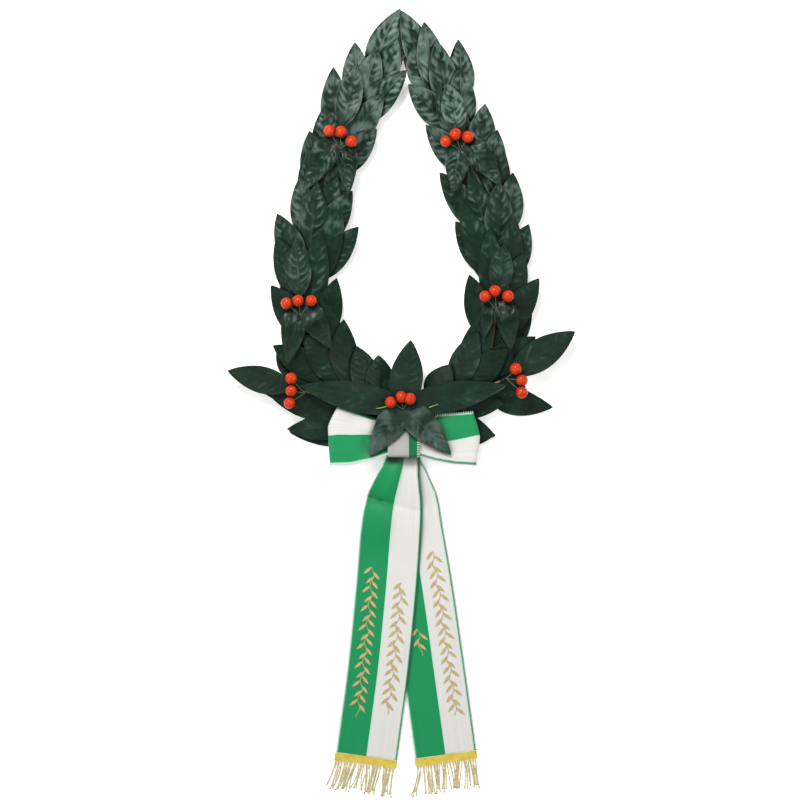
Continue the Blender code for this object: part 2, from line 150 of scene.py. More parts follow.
# Berry sprays: a stem that ends on top of the foliage, then for each leaf from the stem's end its
# tip, width, lift, the height of the crest where it folds over, and its left and right side's share
# of the full width
TOP_Z = 25
SPRAY_RADIUS = 1.1
SPRAY_STEPS = 6
SPRAY_ROOT_DROP = 0.5
SPRAY_ROOT_SPREAD = 0.35
SPRAY_LIFT_SHARE = 0.25
SPRAYS = {
    "left_upper": {
        "stem": [(-90, 249, 6.4), (-87, 258, 9.5), (-79, 285, 17), (-72, 312, TOP_Z)],
        "leaves": [((-53, 398), 30, 0, 0, 1, 1), ((-113, 251), 38, 1, 6.5, 0.62, 1),
                   ((-63, 245), 34, 2, 6.5, 1, 0.5)]},
    "right_upper": {
        "stem": [(90, 249, 6.4), (86, 258, 9.5), (76, 285, 17), (66, 310, TOP_Z)],
        "leaves": [((51, 374), 28, 0, 0, 1, 1), ((57, 248), 32, 1, 6.5, 0.92, 0.92),
                   ((112, 256), 38, 2, 6.5, 1, 0.5)]},
    "left_lower": {
        "stem": [(-93, 53, 6.4), (-99, 66, 9), (-107, 90, 15), (-117, 121, TOP_Z)],
        "leaves": [((-123, 192), 30, 0, 0, 1, 1), ((-132, 52), 34, 1, 6.5, 0.72, 1),
                   ((-82, 70), 34, 2, 6.5, 1, 0.75)]},
    "right_lower": {
        "stem": [(93, 53, 6.4), (99, 66, 9), (104, 90, 15), (107, 126, TOP_Z)],
        "leaves": [((116, 189), 28, 0, 0, 1, 1), ((93, 82), 26, 1, 5, 0.4, 0.95),
                   ((123, 68), 36, 2, 6.5, 1.1, 0.42)]},
    "left_end": {
        "stem": [(-21.5, 6.5, 3.5), (-21.5, 7, 12), (-30, 8, 20), (-70, 12, 22), (-114, 22, 21)],
        "leaves": [((-201, 45), 31, 0, 0, 1, 1)]},
    "right_end": {
        "stem": [(21.5, 6.5, 3.5), (21.5, 7, 12), (30, 8, 20), (70, 17, 22), (111, 33, 21)],
        "leaves": [((197, 90), 36, 0, 0, 1, 1)]},
    "middle": {
        "stem": [(0, 4, 3.5), (0, 5, 10), (0, 5.5, 18), (0, 4, TOP_Z)],
        "leaves": [((9, 80), 38, 0, 0.4, 1, 1), ((-118, 28), 34, 1.5, 0.4, 1, 1),
                   ((118, 28), 34, 2, 0.4, 1, 1), ((-38, -53), 34, 0.5, 2.5, 0.9, 1),
                   ((55, -51), 36, 1, 2.5, 1, 0.9)]},
}

# Inner leaves between the sprays: root, tip, width, height at the root, rise and share of the tone kept under
# painted shade
INNER_LEAVES = [
    ((-118, 60), (-110, 98), 20, 1.6, 0, 0.25),
    ((-114, 30), (-145, 70), 26, 1.4, 0, 0.5),
    ((112, 66), (97, 108), 24, 9, 6, 0.25),
    ((98, 18), (136, 58), 33, 1.4, 0, 0.5),
    ((-6, 8), (-22, 36), 16, 12, 2, 0.5),
    ((-36, -34), (-131, -25), 25, 1.6, 0, 1.0),
    ((36, -31), (106, -28), 27, 1.6, 0, 1.0),
    ((106, 48), (147, 128), 32, 1.6, 0, 0.6),
    ((96, 18), (141, 27), 26, 1.6, 0, 0.6),
]
STALK_RADIUS = 0.8
STALK_TAPER = 0.6
MIDDLE_STALKS = [[(-19, 4, 28.3), (-25, 2.5, 28.6), (-31, 2, 27.0)],
                 [(30, 3, 27.4), (34, 4.5, 28.6), (40, 6.5, 27.4)]]

# Berries: three to a cluster, each on a short wire that runs to the cluster's root
CLUSTERS = {
    "left_upper": {"berries": [(-84, 319), (-71, 318), (-59, 307)], "level": 34, "root": (-72, 298, 28)},
    "right_upper": {"berries": [(49, 307), (60, 315), (74, 312)], "level": 34, "root": (66, 297, 26.9)},
    "left_lower": {"berries": [(-133, 122), (-120, 125), (-105, 125)], "level": 34,
                   "root": (-117, 108, 27.7)},
    "right_lower": {"berries": [(94, 130), (105, 136), (120, 130)], "level": 34, "root": (107, 114, 28)},
    "left_end": {"berries": [(-128, 36), (-128, 22), (-130, 8)], "level": 29.5,
                 "root": (-112.5, 19.2, 22.1)},
    "right_end": {"berries": [(129, 47), (136, 34), (136, 20)], "level": 29.5, "root": (118, 36, 22.1)},
    "middle": {"berries": [(-14, 9), (-2, 15), (8, 13)], "level": 33.4, "root": (0, 1, 27.4)},
}
BERRY_SIZES = (0.97, 1.03)
BERRY_TURN = 6.28
BERRY_LUMP = 0.02
BERRY_DIMPLE = 0.06
DIMPLE_SPREAD = 0.16
WIRE_BEND = 1.0
WIRE_TAPER = 0.8

# Bow: two flattened loops held by a band
LOOP_INNER_END = 4
LOOP_GRID = (34, 96)
LOOP_LOW_Z = 12
LOOP_HIGH_Z = 21.5
LEFT_LOOP = {"reach": 86, "seed": 8.0, "top": [(0, -12), (17, -14), (37, -10), (75, 4), (90, 5)],
             "bottom": [(0, -48), (17, -50), (37, -56), (60, -61), (90, -62)],
             "inset": (11, 0.64, 2.3), "divider": [(0, 0.6), (38, 0.6), (84, 0.49)],
             "dents": [(44, 0.36, 3.4, 8), (58, 0.68, 1.2, 9), (30, 0.75, 1.5, 8)]}
RIGHT_LOOP = {"reach": 88, "seed": 3.0, "top": [(0, -12), (17, -14), (41, -6), (82, -3), (92, -3)],
              "bottom": [(0, -48), (18, -50), (37, -56), (60, -60), (92, -62)],
              "inset": (7.5, 0.55, 4), "divider": [(0, 0.38), (41, 0.39), (85, 0.56)],
              "dents": [(55, 0.42, 1.6, 8), (42, 0.75, 2.0, 7), (66, 0.3, 1.2, 9)]}
BAND_HALF_WIDTH = 17.5
BAND_Y = (-54.5, -3.5)
BAND_Z = (7.4, 23.6)
BAND_CORNER = 5
BAND_GRID = (22, 72)
BAND_GREEN_SHARE = 0.3
BAND_GREEN_END = 0.49
BAND_WHITE_START = 0.51
BAND_WHITE_RUN = 0.45
BAND_SQUARENESS = 3
BAND_PLEAT = 0.5
LOOP_GATHER = (14, 62)
LOOP_PLEAT = 1.2
LOOP_SINK = 0.96
LOOP_WAVE = 0.9
DENT_WIDTH = 38

# Tails: middle line and width at each place down the ribbon
LEFT_TAIL = [(-1, -12, 6.6, 34), (-1, -54, 6.4, 36), (-6, -80, 5.6, 50), (-10.5, -104, 3.4, 63),
             (-14.5, -140, 2.0, 69), (-19.8, -207, 1.9, 70), (-29.2, -300, 1.9, 70), (-42.2, -398, 0.5, 70)]
RIGHT_TAIL = [(1, -12, 5.0, 34), (1, -54, 4.8, 36), (4, -80, 4.0, 52), (6.5, -104, 1.8, 66),
              (11, -140, 0.6, 69), (22.5, -207, 0.5, 69), (35.5, -300, 0.5, 70), (48.8, -396, 0.5, 70)]
TAIL_STEPS = 12
TAIL_GRID = (36, 200)
TAIL_GATHER = (35, 100)
TAIL_PLEAT = 0.7
TAIL_WAVE = 0.45
TAIL_SETTLE = (0.85, 1.0)
CREASE_START = 93
CREASE_SLANT = 9
CREASE_RISE = 9
CREASE_FALL = 8
CREASE_FROM = (35, 62)
CREASE_TO = (12, 70)
CREASE_ACROSS = (0.35, 0.62)
TOP_SHIFT = 0.06
TOP_SHIFT_SPAN = (0.08, 0.3)
FIT_GAP = 0.3
BRAID_GRID = (156, 14)
BRAID_DEPTH = 9
BRAID_OVERHANG = 2
BRAID_LEVEL = 1.05
BRAID_RELIEF = 0.22
BRAID_TURNS = 26
BRAID_CHEVRON = 3
BRAID_EDGE = 0.15
BRAID_SAG = 0.15
BRAID_THICKNESS = 0.0009
FRINGE_LENGTH = 36
FRINGE_REACH = (0.82, 1.0)
FRINGE_BUNCHES = (3, 4, 5)
FRINGE_TUCK = 1.5
FRINGE_LEAN = 5
FRINGE_PULL = (-6.5, 5.5)
FRINGE_STRAY = 1.2
FRINGE_CURVE = 2.2
FRINGE_LIFT = 0.6
FRINGE_LAYERS = 3
LAYER_HEIGHT = 0.5
THREAD_RINGS = 18
THREAD_TWIST = 22
THREAD_PLY = 0.22
THREAD_FRAY = 0.5

# Camera and stage: the photograph's frame is 800 of its pixels, and each is 1.15 mm
FRAME_PIXELS = 800
PIXEL_MM = 1.15
ORIGIN_PIXEL = (403, 410)
SENSOR_WIDTH = 36
FLOOR_GLOW = 0.45
FLOOR_SIZE = 12
FLOOR_DROP = 0.0003
LIGHT_TARGET = (0, 0.05, 0)
KEY_PLACE = (-0.35, 1.0, 1.3)
KEY_SIZE = 0.5
FILL_PLACES = {"fill_left": (-1.6, -0.2, 1.6), "fill_right": (1.6, 0.1, 1.7)}
FILL_SIZE = 1.4
FAR_CLIP = 50


def length_property(name, description, default):
    """A length that a user may change, in metres."""
    return bpy.props.FloatProperty(name=name, description=description, default=default, min=0, unit="LENGTH",
                                   precision=5)


def colour_property(name, description, default):
    """A colour that a user may change."""
    return bpy.props.FloatVectorProperty(name=name, description=description, default=default, size=3,
                                         min=0, max=1, subtype="COLOR")


class LeafSettings(bpy.types.PropertyGroup):
    """Sizes and colours of the foliage."""

    width: length_property("Width", "Width of a leaf", 0.033)
    thickness: length_property("Thickness", "Thickness of a blade", 0.00045)
    rise: bpy.props.FloatProperty(name="Rise", description="How steeply a blade rises along its branch",
                                  default=0.2, min=0.1, max=0.3)
    vein_gap: length_property("Vein gap", "Distance between side veins", 0.0092)
    vein_height: length_property("Vein height", "Height of the embossed side veins", 0.0008)
    wave_height: length_property("Wave height", "Height of the slow waves in a blade", 0.0013)
    # The hollow and ridge colours are the ends of the leaf's tone ramp: the hollows carry painted shade and
    # the ridges a painted highlight
    deep: colour_property("Hollows", "Colour in the hollows of a leaf", (0.0045, 0.0165, 0.0095))
    pale: colour_property("Ridges", "Colour on the ridges of a leaf", (0.135, 0.200, 0.168))
    stem: colour_property("Stems", "Colour of the stems and leaf stalks", (0.16, 0.22, 0.06))
    wrap: colour_property("Hoop wrap", "Colour of the crepe wrap on the hoop", (0.13, 0.105, 0.085))


class BerrySettings(bpy.types.PropertyGroup):
    """Sizes and colours of the berries."""

    radius: length_property("Radius", "Radius of a berry", 0.0067)
    skin: colour_property("Skin", "Colour of a berry", (0.48, 0.024, 0.003))
    wire: colour_property("Wires", "Colour of the berry wires", (0.045, 0.065, 0.03))
    wire_radius: length_property("Wire radius", "Radius of a berry's wire", 0.00045)


class RibbonSettings(bpy.types.PropertyGroup):
    """Sizes and colours of the ribbon."""

    width: length_property("Width", "Width that the ribbon is woven in", 0.070)
    thickness: length_property("Thickness", "Thickness of the ribbon", 0.00035)
    picot_gap: length_property("Picot gap", "Distance between the loops on the ribbon's edge", 0.0027)
    picot_reach: length_property("Picot reach", "How far the edge loops stand out", 0.0023)
    green: colour_property("Green", "Colour of the green half", (0.007, 0.265, 0.090))
    white: colour_property("White", "Colour of the white half", (0.70, 0.69, 0.655))
    mint: colour_property("Mint", "Colour of the loops on the green edge and of the line beside them",
                          (0.44, 0.74, 0.54))


class TrimSettings(bpy.types.PropertyGroup):
    """Sizes and colours of the braid, the fringe and the gold foil."""

    braid: colour_property("Braid", "Colour of the gold braid", (0.84, 0.71, 0.10))
    thread: colour_property("Thread", "Colour of the fringe threads", (0.64, 0.54, 0.29))
    thread_count: bpy.props.IntProperty(name="Threads", description="Threads in one fringe", default=42,
                                        min=10, max=120)
    thread_radius: length_property("Thread radius", "Radius of a fringe thread", 0.00065)
    foil: colour_property("Foil", "Colour of the gold foil ornament", (0.74, 0.56, 0.24))


class StageSettings(bpy.types.PropertyGroup):
    """Floor, lights and camera."""

    floor: colour_property("Floor", "Colour of the floor", (0.92, 0.92, 0.91))
    camera_height: length_property("Camera height", "Distance of the camera from the floor", 5.0)
    key: bpy.props.FloatProperty(name="Key light", description="Power of the key light, in watts", default=23,
                                 min=0)
    fill: bpy.props.FloatProperty(name="Fill light", description="Power of each fill light, in watts",
                                  default=18, min=0)
    sky: bpy.props.FloatProperty(name="Sky", description="Strength of the even light from all round",
                                 default=0.3, min=0)


def catmull(points, steps):
    """Points of a smooth curve through the given ones, with as many steps between each pair."""
    known = [Vector(p) for p in points]
    known = [2 * known[0] - known[1]] + known + [2 * known[-1] - known[-2]]
    smooth = []
    for index in range(1, len(known) - 2):
        a, b, c, d = known[index - 1:index + 3]
        for step in range(steps):
            t = step / steps
            smooth.append(0.5 * (2 * b + (c - a) * t + (2 * a - 5 * b + 4 * c - d) * t ** 2
                                 + (3 * b - 3 * c + d - a) * t ** 3))
    smooth.append(known[-2])
    return smooth


def even_steps(points, spacing):
    """Points at nearly even steps along a line, without its last one."""
    steps = []
    for before, after in zip(points, points[1:]):
        pieces = max(1, round((after - before).length / spacing))
        steps.extend(before.lerp(after, step / pieces) for step in range(pieces))
    return steps


def run_lengths(points):
    """How far along a line each of its points lies."""
    lengths = [0.0]
    for before, after in zip(points, points[1:]):
        lengths.append(lengths[-1] + (after - before).length)
    return lengths


class Guide:
    """The hoop's half line, read as a distance along it and a distance beside it."""

    def __init__(self):
        rough = catmull(HOOP_HALF, GUIDE_STEPS)
        rough.append(rough[-1] + Vector((0, GUIDE_EXTENSION)))
        self.points = even_steps(rough, GUIDE_SPACING) + rough[-1:]
        self.along = run_lengths(self.points)

    def at(self, distance):
        """The point that lies this far along the half line."""
        for index in range(1, len(self.points)):
            if self.along[index] >= distance:
                part = (distance - self.along[index - 1]) / (self.along[index] - self.along[index - 1])
                return self.points[index - 1].lerp(self.points[index], part)
        return self.points[-1].copy()

    def read(self, x, y):
        """How far along the half line a point lies, blurred a little, and how far beside it."""
        place = Vector((abs(x), y))
        squares = [(place - point).length_squared for point in self.points]
        nearest = min(squares)
        total = 0.0
        sum_along = 0.0
        for square, along in zip(squares, self.along):
            if square - nearest < GUIDE_CUTOFF * GUIDE_BLUR ** 2:
                weight = math.exp((nearest - square) / GUIDE_BLUR ** 2)
                total += weight
                sum_along += weight * along
        return sum_along / total, math.sqrt(nearest)


GUIDE = Guide()


def part_way(low, high, value):
    """From 0 at the low value to 1 at the high one, and level beyond them."""
    return min(1.0, max(0.0, (value - low) / (high - low)))


def smoothstep(low, high, value):
    """From 0 below the low value to 1 above the high one, without corners."""
    t = part_way(low, high, value)
    return t * t * (3 - 2 * t)


def bell(value, middle, spread):
    """1 at the middle, falling away on both sides."""
    return math.exp(-((value - middle) / spread) ** 2)


def choose(obj):
    """Makes one object the only one that operators act on."""
    bpy.ops.object.select_all(action="DESELECT")
    obj.select_set(True)
    bpy.context.view_layer.objects.active = obj


def apply_modifiers(obj):
    """Applies every modifier of an object."""
    choose(obj)
    for modifier in list(obj.modifiers):
        bpy.ops.object.modifier_apply(modifier=modifier.name)


def added(operator, **settings):
    """The object that an operator adds, which is then the only one selected."""
    bpy.ops.object.select_all(action="DESELECT")
    operator(**settings)
    return bpy.context.active_object


def join(objects):
    """Joins objects into the first one."""
    bpy.ops.object.select_all(action="DESELECT")
    for obj in objects:
        obj.select_set(True)
    bpy.context.view_layer.objects.active = objects[0]
    if len(objects) > 1:
        bpy.ops.object.join()
    return objects[0]


def copy_of(obj):
    """A copy of an object with its own mesh."""
    twin = obj.copy()
    twin.data = obj.data.copy()
    bpy.context.scene.collection.objects.link(twin)
    return twin


def discard(*objects):
    """Removes helper objects and their meshes."""
    for obj in objects:
        mesh = obj.data
        bpy.data.objects.remove(obj)
        bpy.data.meshes.remove(mesh)


def edit_all(obj, *steps):
    """Runs steps in edit mode with all of an object's mesh selected."""
    choose(obj)
    bpy.ops.object.mode_set(mode="EDIT")
    bpy.ops.mesh.select_all(action="SELECT")
    for step in steps:
        step()
    bpy.ops.object.mode_set(mode="OBJECT")


def merge_doubles():
    """Merges the selected points that lie in one place."""
    bpy.ops.mesh.remove_doubles(threshold=MERGE_DISTANCE)


def face_outwards():
    """Turns the selected faces outwards."""
    bpy.ops.mesh.normals_make_consistent(inside=False)


def object_from(shape, name):
    """An object made from a bmesh, with its faces turned outwards."""
    bmesh.ops.recalc_face_normals(shape, faces=shape.faces)
    mesh = bpy.data.meshes.new(name)
    shape.to_mesh(mesh)
    shape.free()
    obj = bpy.data.objects.new(name, mesh)
    bpy.context.scene.collection.objects.link(obj)
    return obj


def finish_piece(obj, name, look, replaced=()):
    """Names a piece, gives it its finish and makes it ride on the wreath."""
    obj.name = name
    obj.data.name = name
    if look:
        obj.data.materials.clear()
        obj.data.materials.append(finish(look))
    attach(obj, BODY)
    if replaced:
        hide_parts(*replaced)
    return obj


def grid(columns, rows):
    """A flat grid from -1 to 1 both ways, with its own UV map."""
    return added(bpy.ops.mesh.primitive_grid_add, x_subdivisions=columns, y_subdivisions=rows, size=2)


def thicken(obj, thickness):
    """Gives an open sheet its thickness, in metres, to both sides."""
    solid = obj.modifiers.new("thickness", "SOLIDIFY")
    solid.thickness = thickness
    solid.offset = 0
    apply_modifiers(obj)
    bpy.ops.object.shade_smooth_by_angle(angle=SMOOTH_ANGLE)
    return obj


def lay_grid(columns, rows, place):
    """A grid whose points a rule places in mm, by the share along and across."""
    obj = grid(columns, rows)
    for vertex in obj.data.vertices:
        vertex.co = Vector(place((vertex.co.y + 1) / 2, (vertex.co.x + 1) / 2)) * MM
    return obj


def place_sheet(columns, rows, place, thickness):
    """A thin sheet whose points a rule places in mm."""
    return thicken(lay_grid(columns, rows, place), thickness)


def tube(points, radius, sides=8, closed=False, taper=1.0):
    """A round bar through points in mm, its radius in mm shrinking to a share at the far end."""
    line = bpy.data.curves.new("bar", "CURVE")
    line.dimensions = "3D"
    line.bevel_depth = radius * MM
    line.bevel_resolution = sides // 2 - 2
    line.use_fill_caps = not closed
    spline = line.splines.new("POLY")
    spline.points.add(len(points) - 1)
    for number, (knot, point) in enumerate(zip(spline.points, points)):
        knot.co = (*(Vector(point) * MM), 1)
        knot.radius = 1 + (taper - 1) * number / (len(points) - 1)
    spline.use_cyclic_u = closed
    obj = bpy.data.objects.new("bar", line)
    bpy.context.scene.collection.objects.link(obj)
    choose(obj)
    bpy.ops.object.convert(target="MESH")
    obj = bpy.context.active_object
    edit_all(obj, merge_doubles, face_outwards)
    bpy.ops.object.shade_smooth_by_angle(angle=SMOOTH_ANGLE)
    return obj


# Sockets of the node that mixes colours: its two colours, and its result
MIX_COLOURS = (6, 7)
MIX_RESULT = 2


class Finish:
    """A material's node tree, with short calls to build it."""

    def __init__(self, name):
        self.material = bpy.data.materials.new(name)
        self.material.use_nodes = True
        self.tree = self.material.node_tree
        self.surface = self.tree.nodes["Principled BSDF"]

    def add(self, kind, settings=None, **inputs):
        """A new node; settings are its own properties, and inputs its sockets' values or links."""
        made = self.tree.nodes.new(kind)
        for key, value in (settings or {}).items():
            setattr(made, key, value)
        for key, value in inputs.items():
            self.feed(made, key.replace("_", " "), value)
        return made

    def feed(self, target, socket, value):
        """Sets an input to a value, or links another node's output to it."""
        if isinstance(value, bpy.types.NodeSocket):
            self.tree.links.new(value, target.inputs[socket])
        else:
            target.inputs[socket].default_value = value

    def set(self, **inputs):
        """Values or links for the surface shader."""
        for key, value in inputs.items():
            self.feed(self.surface, key.replace("_", " "), value)

    def objects(self):
        """Object coordinates."""
        return self.add("ShaderNodeTexCoord").outputs["Object"]

    def own_map(self):
        """The piece's own UV map."""
        return self.add("ShaderNodeTexCoord").outputs["UV"]

    def noise(self, where, scale, detail=3.0, roughness=0.5):
        """A noise value from 0 to 1."""
        made = self.add("ShaderNodeTexNoise", Vector=where, Scale=scale, Detail=detail, Roughness=roughness)
        return made.outputs["Fac"]

    def stretch(self, where, scale):
        """Coordinates scaled by three factors."""
        return self.add("ShaderNodeMapping", Vector=where, Scale=scale).outputs["Vector"]

    def maths(self, operation, first, second=0.0):
        """A maths node's result."""
        made = self.add("ShaderNodeMath", {"operation": operation})
        self.feed(made, 0, first)
        self.feed(made, 1, second)
        return made.outputs[0]

    def remap(self, value, low, high, to_low, to_high):
        """A value brought from one range to another."""
        made = self.add("ShaderNodeMapRange", Value=value, From_Min=low, From_Max=high, To_Min=to_low,
                        To_Max=to_high)
        return made.outputs["Result"]

    def ramp(self, value, stops, interpolation="LINEAR"):
        """A colour read from stops of (place, colour)."""
        made = self.add("ShaderNodeValToRGB", Fac=value)
        made.color_ramp.interpolation = interpolation
        elements = made.color_ramp.elements
        while len(elements) < len(stops):
            elements.new(0.5)
        for element, (place, colour) in zip(elements, stops):
            element.position = place
            element.color = (*colour, 1)
        return made.outputs["Color"]

    def mix(self, share, first, second):
        """Two colours mixed by a share."""
        made = self.add("ShaderNodeMix", {"data_type": "RGBA"})
        self.feed(made, "Factor", share)
        for socket, value in zip(MIX_COLOURS, (first, second)):
            self.feed(made, socket, value if isinstance(value, bpy.types.NodeSocket) else (*value, 1))
        return made.outputs[MIX_RESULT]

    def bump(self, height, distance, strength):
        """A bumped normal; the distance is in metres."""
        made = self.add("ShaderNodeBump", Height=height, Distance=distance, Strength=strength)
        return made.outputs["Normal"]

    def occlusion_shade(self, distance, low, high):
        """Painted shade: how deep a spot lies beside its neighbours, from 0 in the open to 1, used to darken
        colour where shade falls.
        """
        made = self.add("ShaderNodeAmbientOcclusion", {"samples": 8}, Distance=distance)
        return self.remap(made.outputs["AO"], low, high, 1.0, 0.0)

    def attribute(self, name):
        """A value stored on the mesh."""
        return self.add("ShaderNodeAttribute", {"attribute_name": name}).outputs["Fac"]


def finish(name):
    """A finish by name, built once."""
    known = bpy.data.materials.get(name)
    if known:
        return known
    made = Finish(name)
    FINISHES[name](made)
    return made.material


def times(colour, factor):
    """A colour made paler or darker by a factor."""
    return [factor * c for c in colour]


def between(first, second):
    """The colour midway between two."""
    return [0.5 * (a + b) for a, b in zip(first, second)]


LEAF_LOW_STOP = 0.18
LEAF_MIDDLE_STOP = 0.45
LEAF_LOW = 1.6
GREY_MIDDLE = (0.060, 0.084, 0.073)
GREY_PALE = (0.150, 0.185, 0.168)
LEAF_PAINTED_SHADE = (0.001, 0.003, 0.002)
DARK_STEM = (0.05, 0.09, 0.03)
PALE_STALK = (0.30, 0.36, 0.10)
DARK_STALK = (0.16, 0.24, 0.07)
WORN_WRAP = 2.2
ORANGE_SKIN = (0.66, 0.06, 0.006)
BERRY_PAINTED_SHADE = (0.22, 0.008, 0.001)
PALE_WIRE = (0.11, 0.14, 0.07)
BLACK = (0.0, 0.0, 0.0)
RIBBON_SHADE = (0.02, 0.03, 0.02)
RIBBON_DULL = 0.02
BAND_PAINTED_SHADE = 0.4
STREAKS = 0.1
DARK_EDGE = 0.75
AMBER_THREAD = (0.75, 0.45, 0.03)
BRAID_PAINTED_SHADE = (0.50, 0.33, 0.02)


def leaf_finish(made):
    """Dark waxed leaf: pale ridges as a painted highlight, deep hollows and cracks as painted shade, a soft
    bloom and a fine embossed grain.
    """
    settings = bpy.context.scene.wreath_leaves
    where = made.objects()
    blotch = made.noise(where, 45, 4)
    fine = made.noise(where, 260, 2)
    height = made.maths("ADD", made.attribute("relief"), made.remap(blotch, 0.3, 0.7, -0.15, 0.15))
    low = [(0.0, settings.deep), (LEAF_LOW_STOP, times(settings.deep, LEAF_LOW))]
    middle = between(settings.deep, settings.pale)
    green = made.ramp(height, low + [(LEAF_MIDDLE_STOP, middle), (1.0, settings.pale)])
    grey = made.ramp(height, low + [(LEAF_MIDDLE_STOP, GREY_MIDDLE), (1.0, GREY_PALE)])
    open_colour = made.mix(made.remap(made.attribute("hue"), 0.2, 1.0, 0.0, 0.5), green, grey)
    # Painted shade: near-black where a leaf lies close under others, standing in for the shadow in the cracks
    # between them
    colour = made.mix(made.occlusion_shade(0.011, 0.38, 0.8), open_colour, LEAF_PAINTED_SHADE)
    made.set(Base_Color=colour, Roughness=made.remap(fine, 0.3, 0.7, 0.40, 0.52), Specular_IOR_Level=0.17,
             Coat_Weight=0.08, Coat_Roughness=0.2, Normal=made.bump(fine, 0.00025, 0.4))


def stem_finish(made):
    """Yellow-green stems and stalks with a slight grain."""
    where = made.objects()
    stem = bpy.context.scene.wreath_leaves.stem
    made.set(Base_Color=made.mix(made.noise(where, 120, 3), stem, DARK_STEM), Roughness=0.55,
             Normal=made.bump(made.noise(where, 900, 2), 0.0002, 0.5))


def stalk_finish(made):
    """Pale yellow-green stalk."""
    made.set(Base_Color=made.mix(made.noise(made.objects(), 400, 2), PALE_STALK, DARK_STALK), Roughness=0.5)


def wrap_finish(made):
    """Grey-brown crepe tape with fine crosswise wrinkles."""
    wrap = bpy.context.scene.wreath_leaves.wrap
    where = made.objects()
    tone = made.remap(made.noise(where, 160, 4), 0.3, 0.7, 0, 1)
    wrinkles = made.noise(where, 1400, 3, 0.7)
    made.set(Base_Color=made.mix(tone, wrap, times(wrap, WORN_WRAP)), Roughness=0.85,
             Normal=made.bump(wrinkles, 0.0003, 0.8))


def berry_finish(made):
    """Glossy orange-red lacquer, a little uneven in tone, with painted shade where the berries crowd against
    each other and the leaves.
    """
    where = made.objects()
    tone = made.remap(made.noise(where, 260, 2), 0.35, 0.65, 0.0, 0.6)
    colour = made.mix(tone, bpy.context.scene.wreath_berries.skin, ORANGE_SKIN)
    # Painted shade: darker where the berry lies close to its neighbours
    deep = made.mix(made.occlusion_shade(0.012, 0.3, 0.95), colour, BERRY_PAINTED_SHADE)
    made.set(Base_Color=deep, Roughness=0.34, Specular_IOR_Level=0.12, Coat_Weight=0.24, Coat_Roughness=0.1,
             Normal=made.bump(made.noise(where, 500, 2), 0.0002, 0.35))


def wire_finish(made):
    """Papered wire, in a dull green."""
    wire = bpy.context.scene.wreath_berries.wire
    made.set(Base_Color=made.mix(made.noise(made.objects(), 500, 2), wire, PALE_WIRE), Roughness=0.6)


def ribbon_finish(made, dull=RIBBON_DULL):
    """Ribbon that is half green and half white by its width, with edge lines and woven streaks, and painted
    shade where other parts lie close over it.
    """
    settings = bpy.context.scene.wreath_ribbon
    place = made.own_map()
    across = made.add("ShaderNodeSeparateXYZ", Vector=place).outputs["X"]
    seam = between(settings.mint, settings.white)
    colour = made.ramp(across, [(0.0, settings.white), (0.012, settings.green), (0.497, seam),
                                (0.520, settings.white), (0.96, seam),
                                (0.982, times(settings.green, DARK_EDGE))], "CONSTANT")
    streak = made.noise(made.stretch(place, (70, 2.5, 1)), 1, 3, 0.6)
    # The dull share darkens the whole ribbon; the band's share is painted shade from the leaves above it
    shade = made.mix(made.remap(streak, 0.3, 0.7, dull, dull + STREAKS), colour, BLACK)
    # Painted shade where leaves and other ribbon lie close over it
    covered = made.mix(made.occlusion_shade(0.016, 0.35, 0.95), shade, RIBBON_SHADE)
    ribs = made.add("ShaderNodeTexWave", {"bands_direction": "X"}, Vector=place, Scale=45.0).outputs["Fac"]
    made.set(Base_Color=covered, Roughness=made.remap(streak, 0.3, 0.7, 0.42, 0.6), Specular_IOR_Level=0.22,
             Sheen_Weight=0.05, Anisotropic=0.3, Normal=made.bump(ribs, 0.0001, 0.12))


def band_finish(made):
    """The ribbon as it is on the band, darkened all over by painted shade from the leaves above it."""
    ribbon_finish(made, BAND_PAINTED_SHADE)


def plain_finish(made, colour, roughness, sheen=0.0, metallic=0.0, grain=0.0):
    """A thread or foil finish with a small change of tone and a fine grain."""
    where = made.objects()
    tone = made.remap(made.noise(where, 300, 3), 0.3, 0.7, 0.0, 0.45)
    made.set(Base_Color=made.mix(tone, colour, times(colour, 0.6)), Roughness=roughness,
             Sheen_Weight=sheen, Metallic=metallic)
    if grain:
        made.set(Normal=made.bump(made.noise(where, 2200, 2), grain, 0.7))


def white_picot_finish(made):
    """Pale mint edge loops."""
    plain_finish(made, bpy.context.scene.wreath_ribbon.mint, 0.6, 0.2)


def green_picot_finish(made):
    """Dark green edge loops."""
    plain_finish(made, times(bpy.context.scene.wreath_ribbon.green, DARK_EDGE), 0.6, 0.2)


def braid_finish(made):
    """Flat gold tape in a twill weave, darker in places, with painted shade in the weave's hollows."""
    where = made.stretch(made.own_map(), (6, 1, 1))
    twill = made.add("ShaderNodeTexWave", {"bands_direction": "DIAGONAL"}, Vector=where, Scale=14.0,
                     Distortion=0.6).outputs["Fac"]
    tone = made.remap(made.noise(made.objects(), 90, 3), 0.42, 0.7, 0.0, 0.8)
    colour = made.mix(tone, bpy.context.scene.wreath_trim.braid, AMBER_THREAD)
    # Painted shade in the hollows of the twill
    woven = made.mix(made.remap(twill, 0.2, 0.9, 0.2, 0.0), colour, BRAID_PAINTED_SHADE)
    made.set(Base_Color=woven, Roughness=0.42, Sheen_Weight=0.2, Normal=made.bump(twill, 0.00025, 0.7))


def thread_finish(made):
    """Beige-gold twisted thread."""
    plain_finish(made, bpy.context.scene.wreath_trim.thread, 0.5, 0.4, 0.1, 0.0002)


def foil_finish(made):
    """Stamped gold foil with a soft shine."""
    plain_finish(made, bpy.context.scene.wreath_trim.foil, 0.35, 0.0, 0.45, 0.00008)


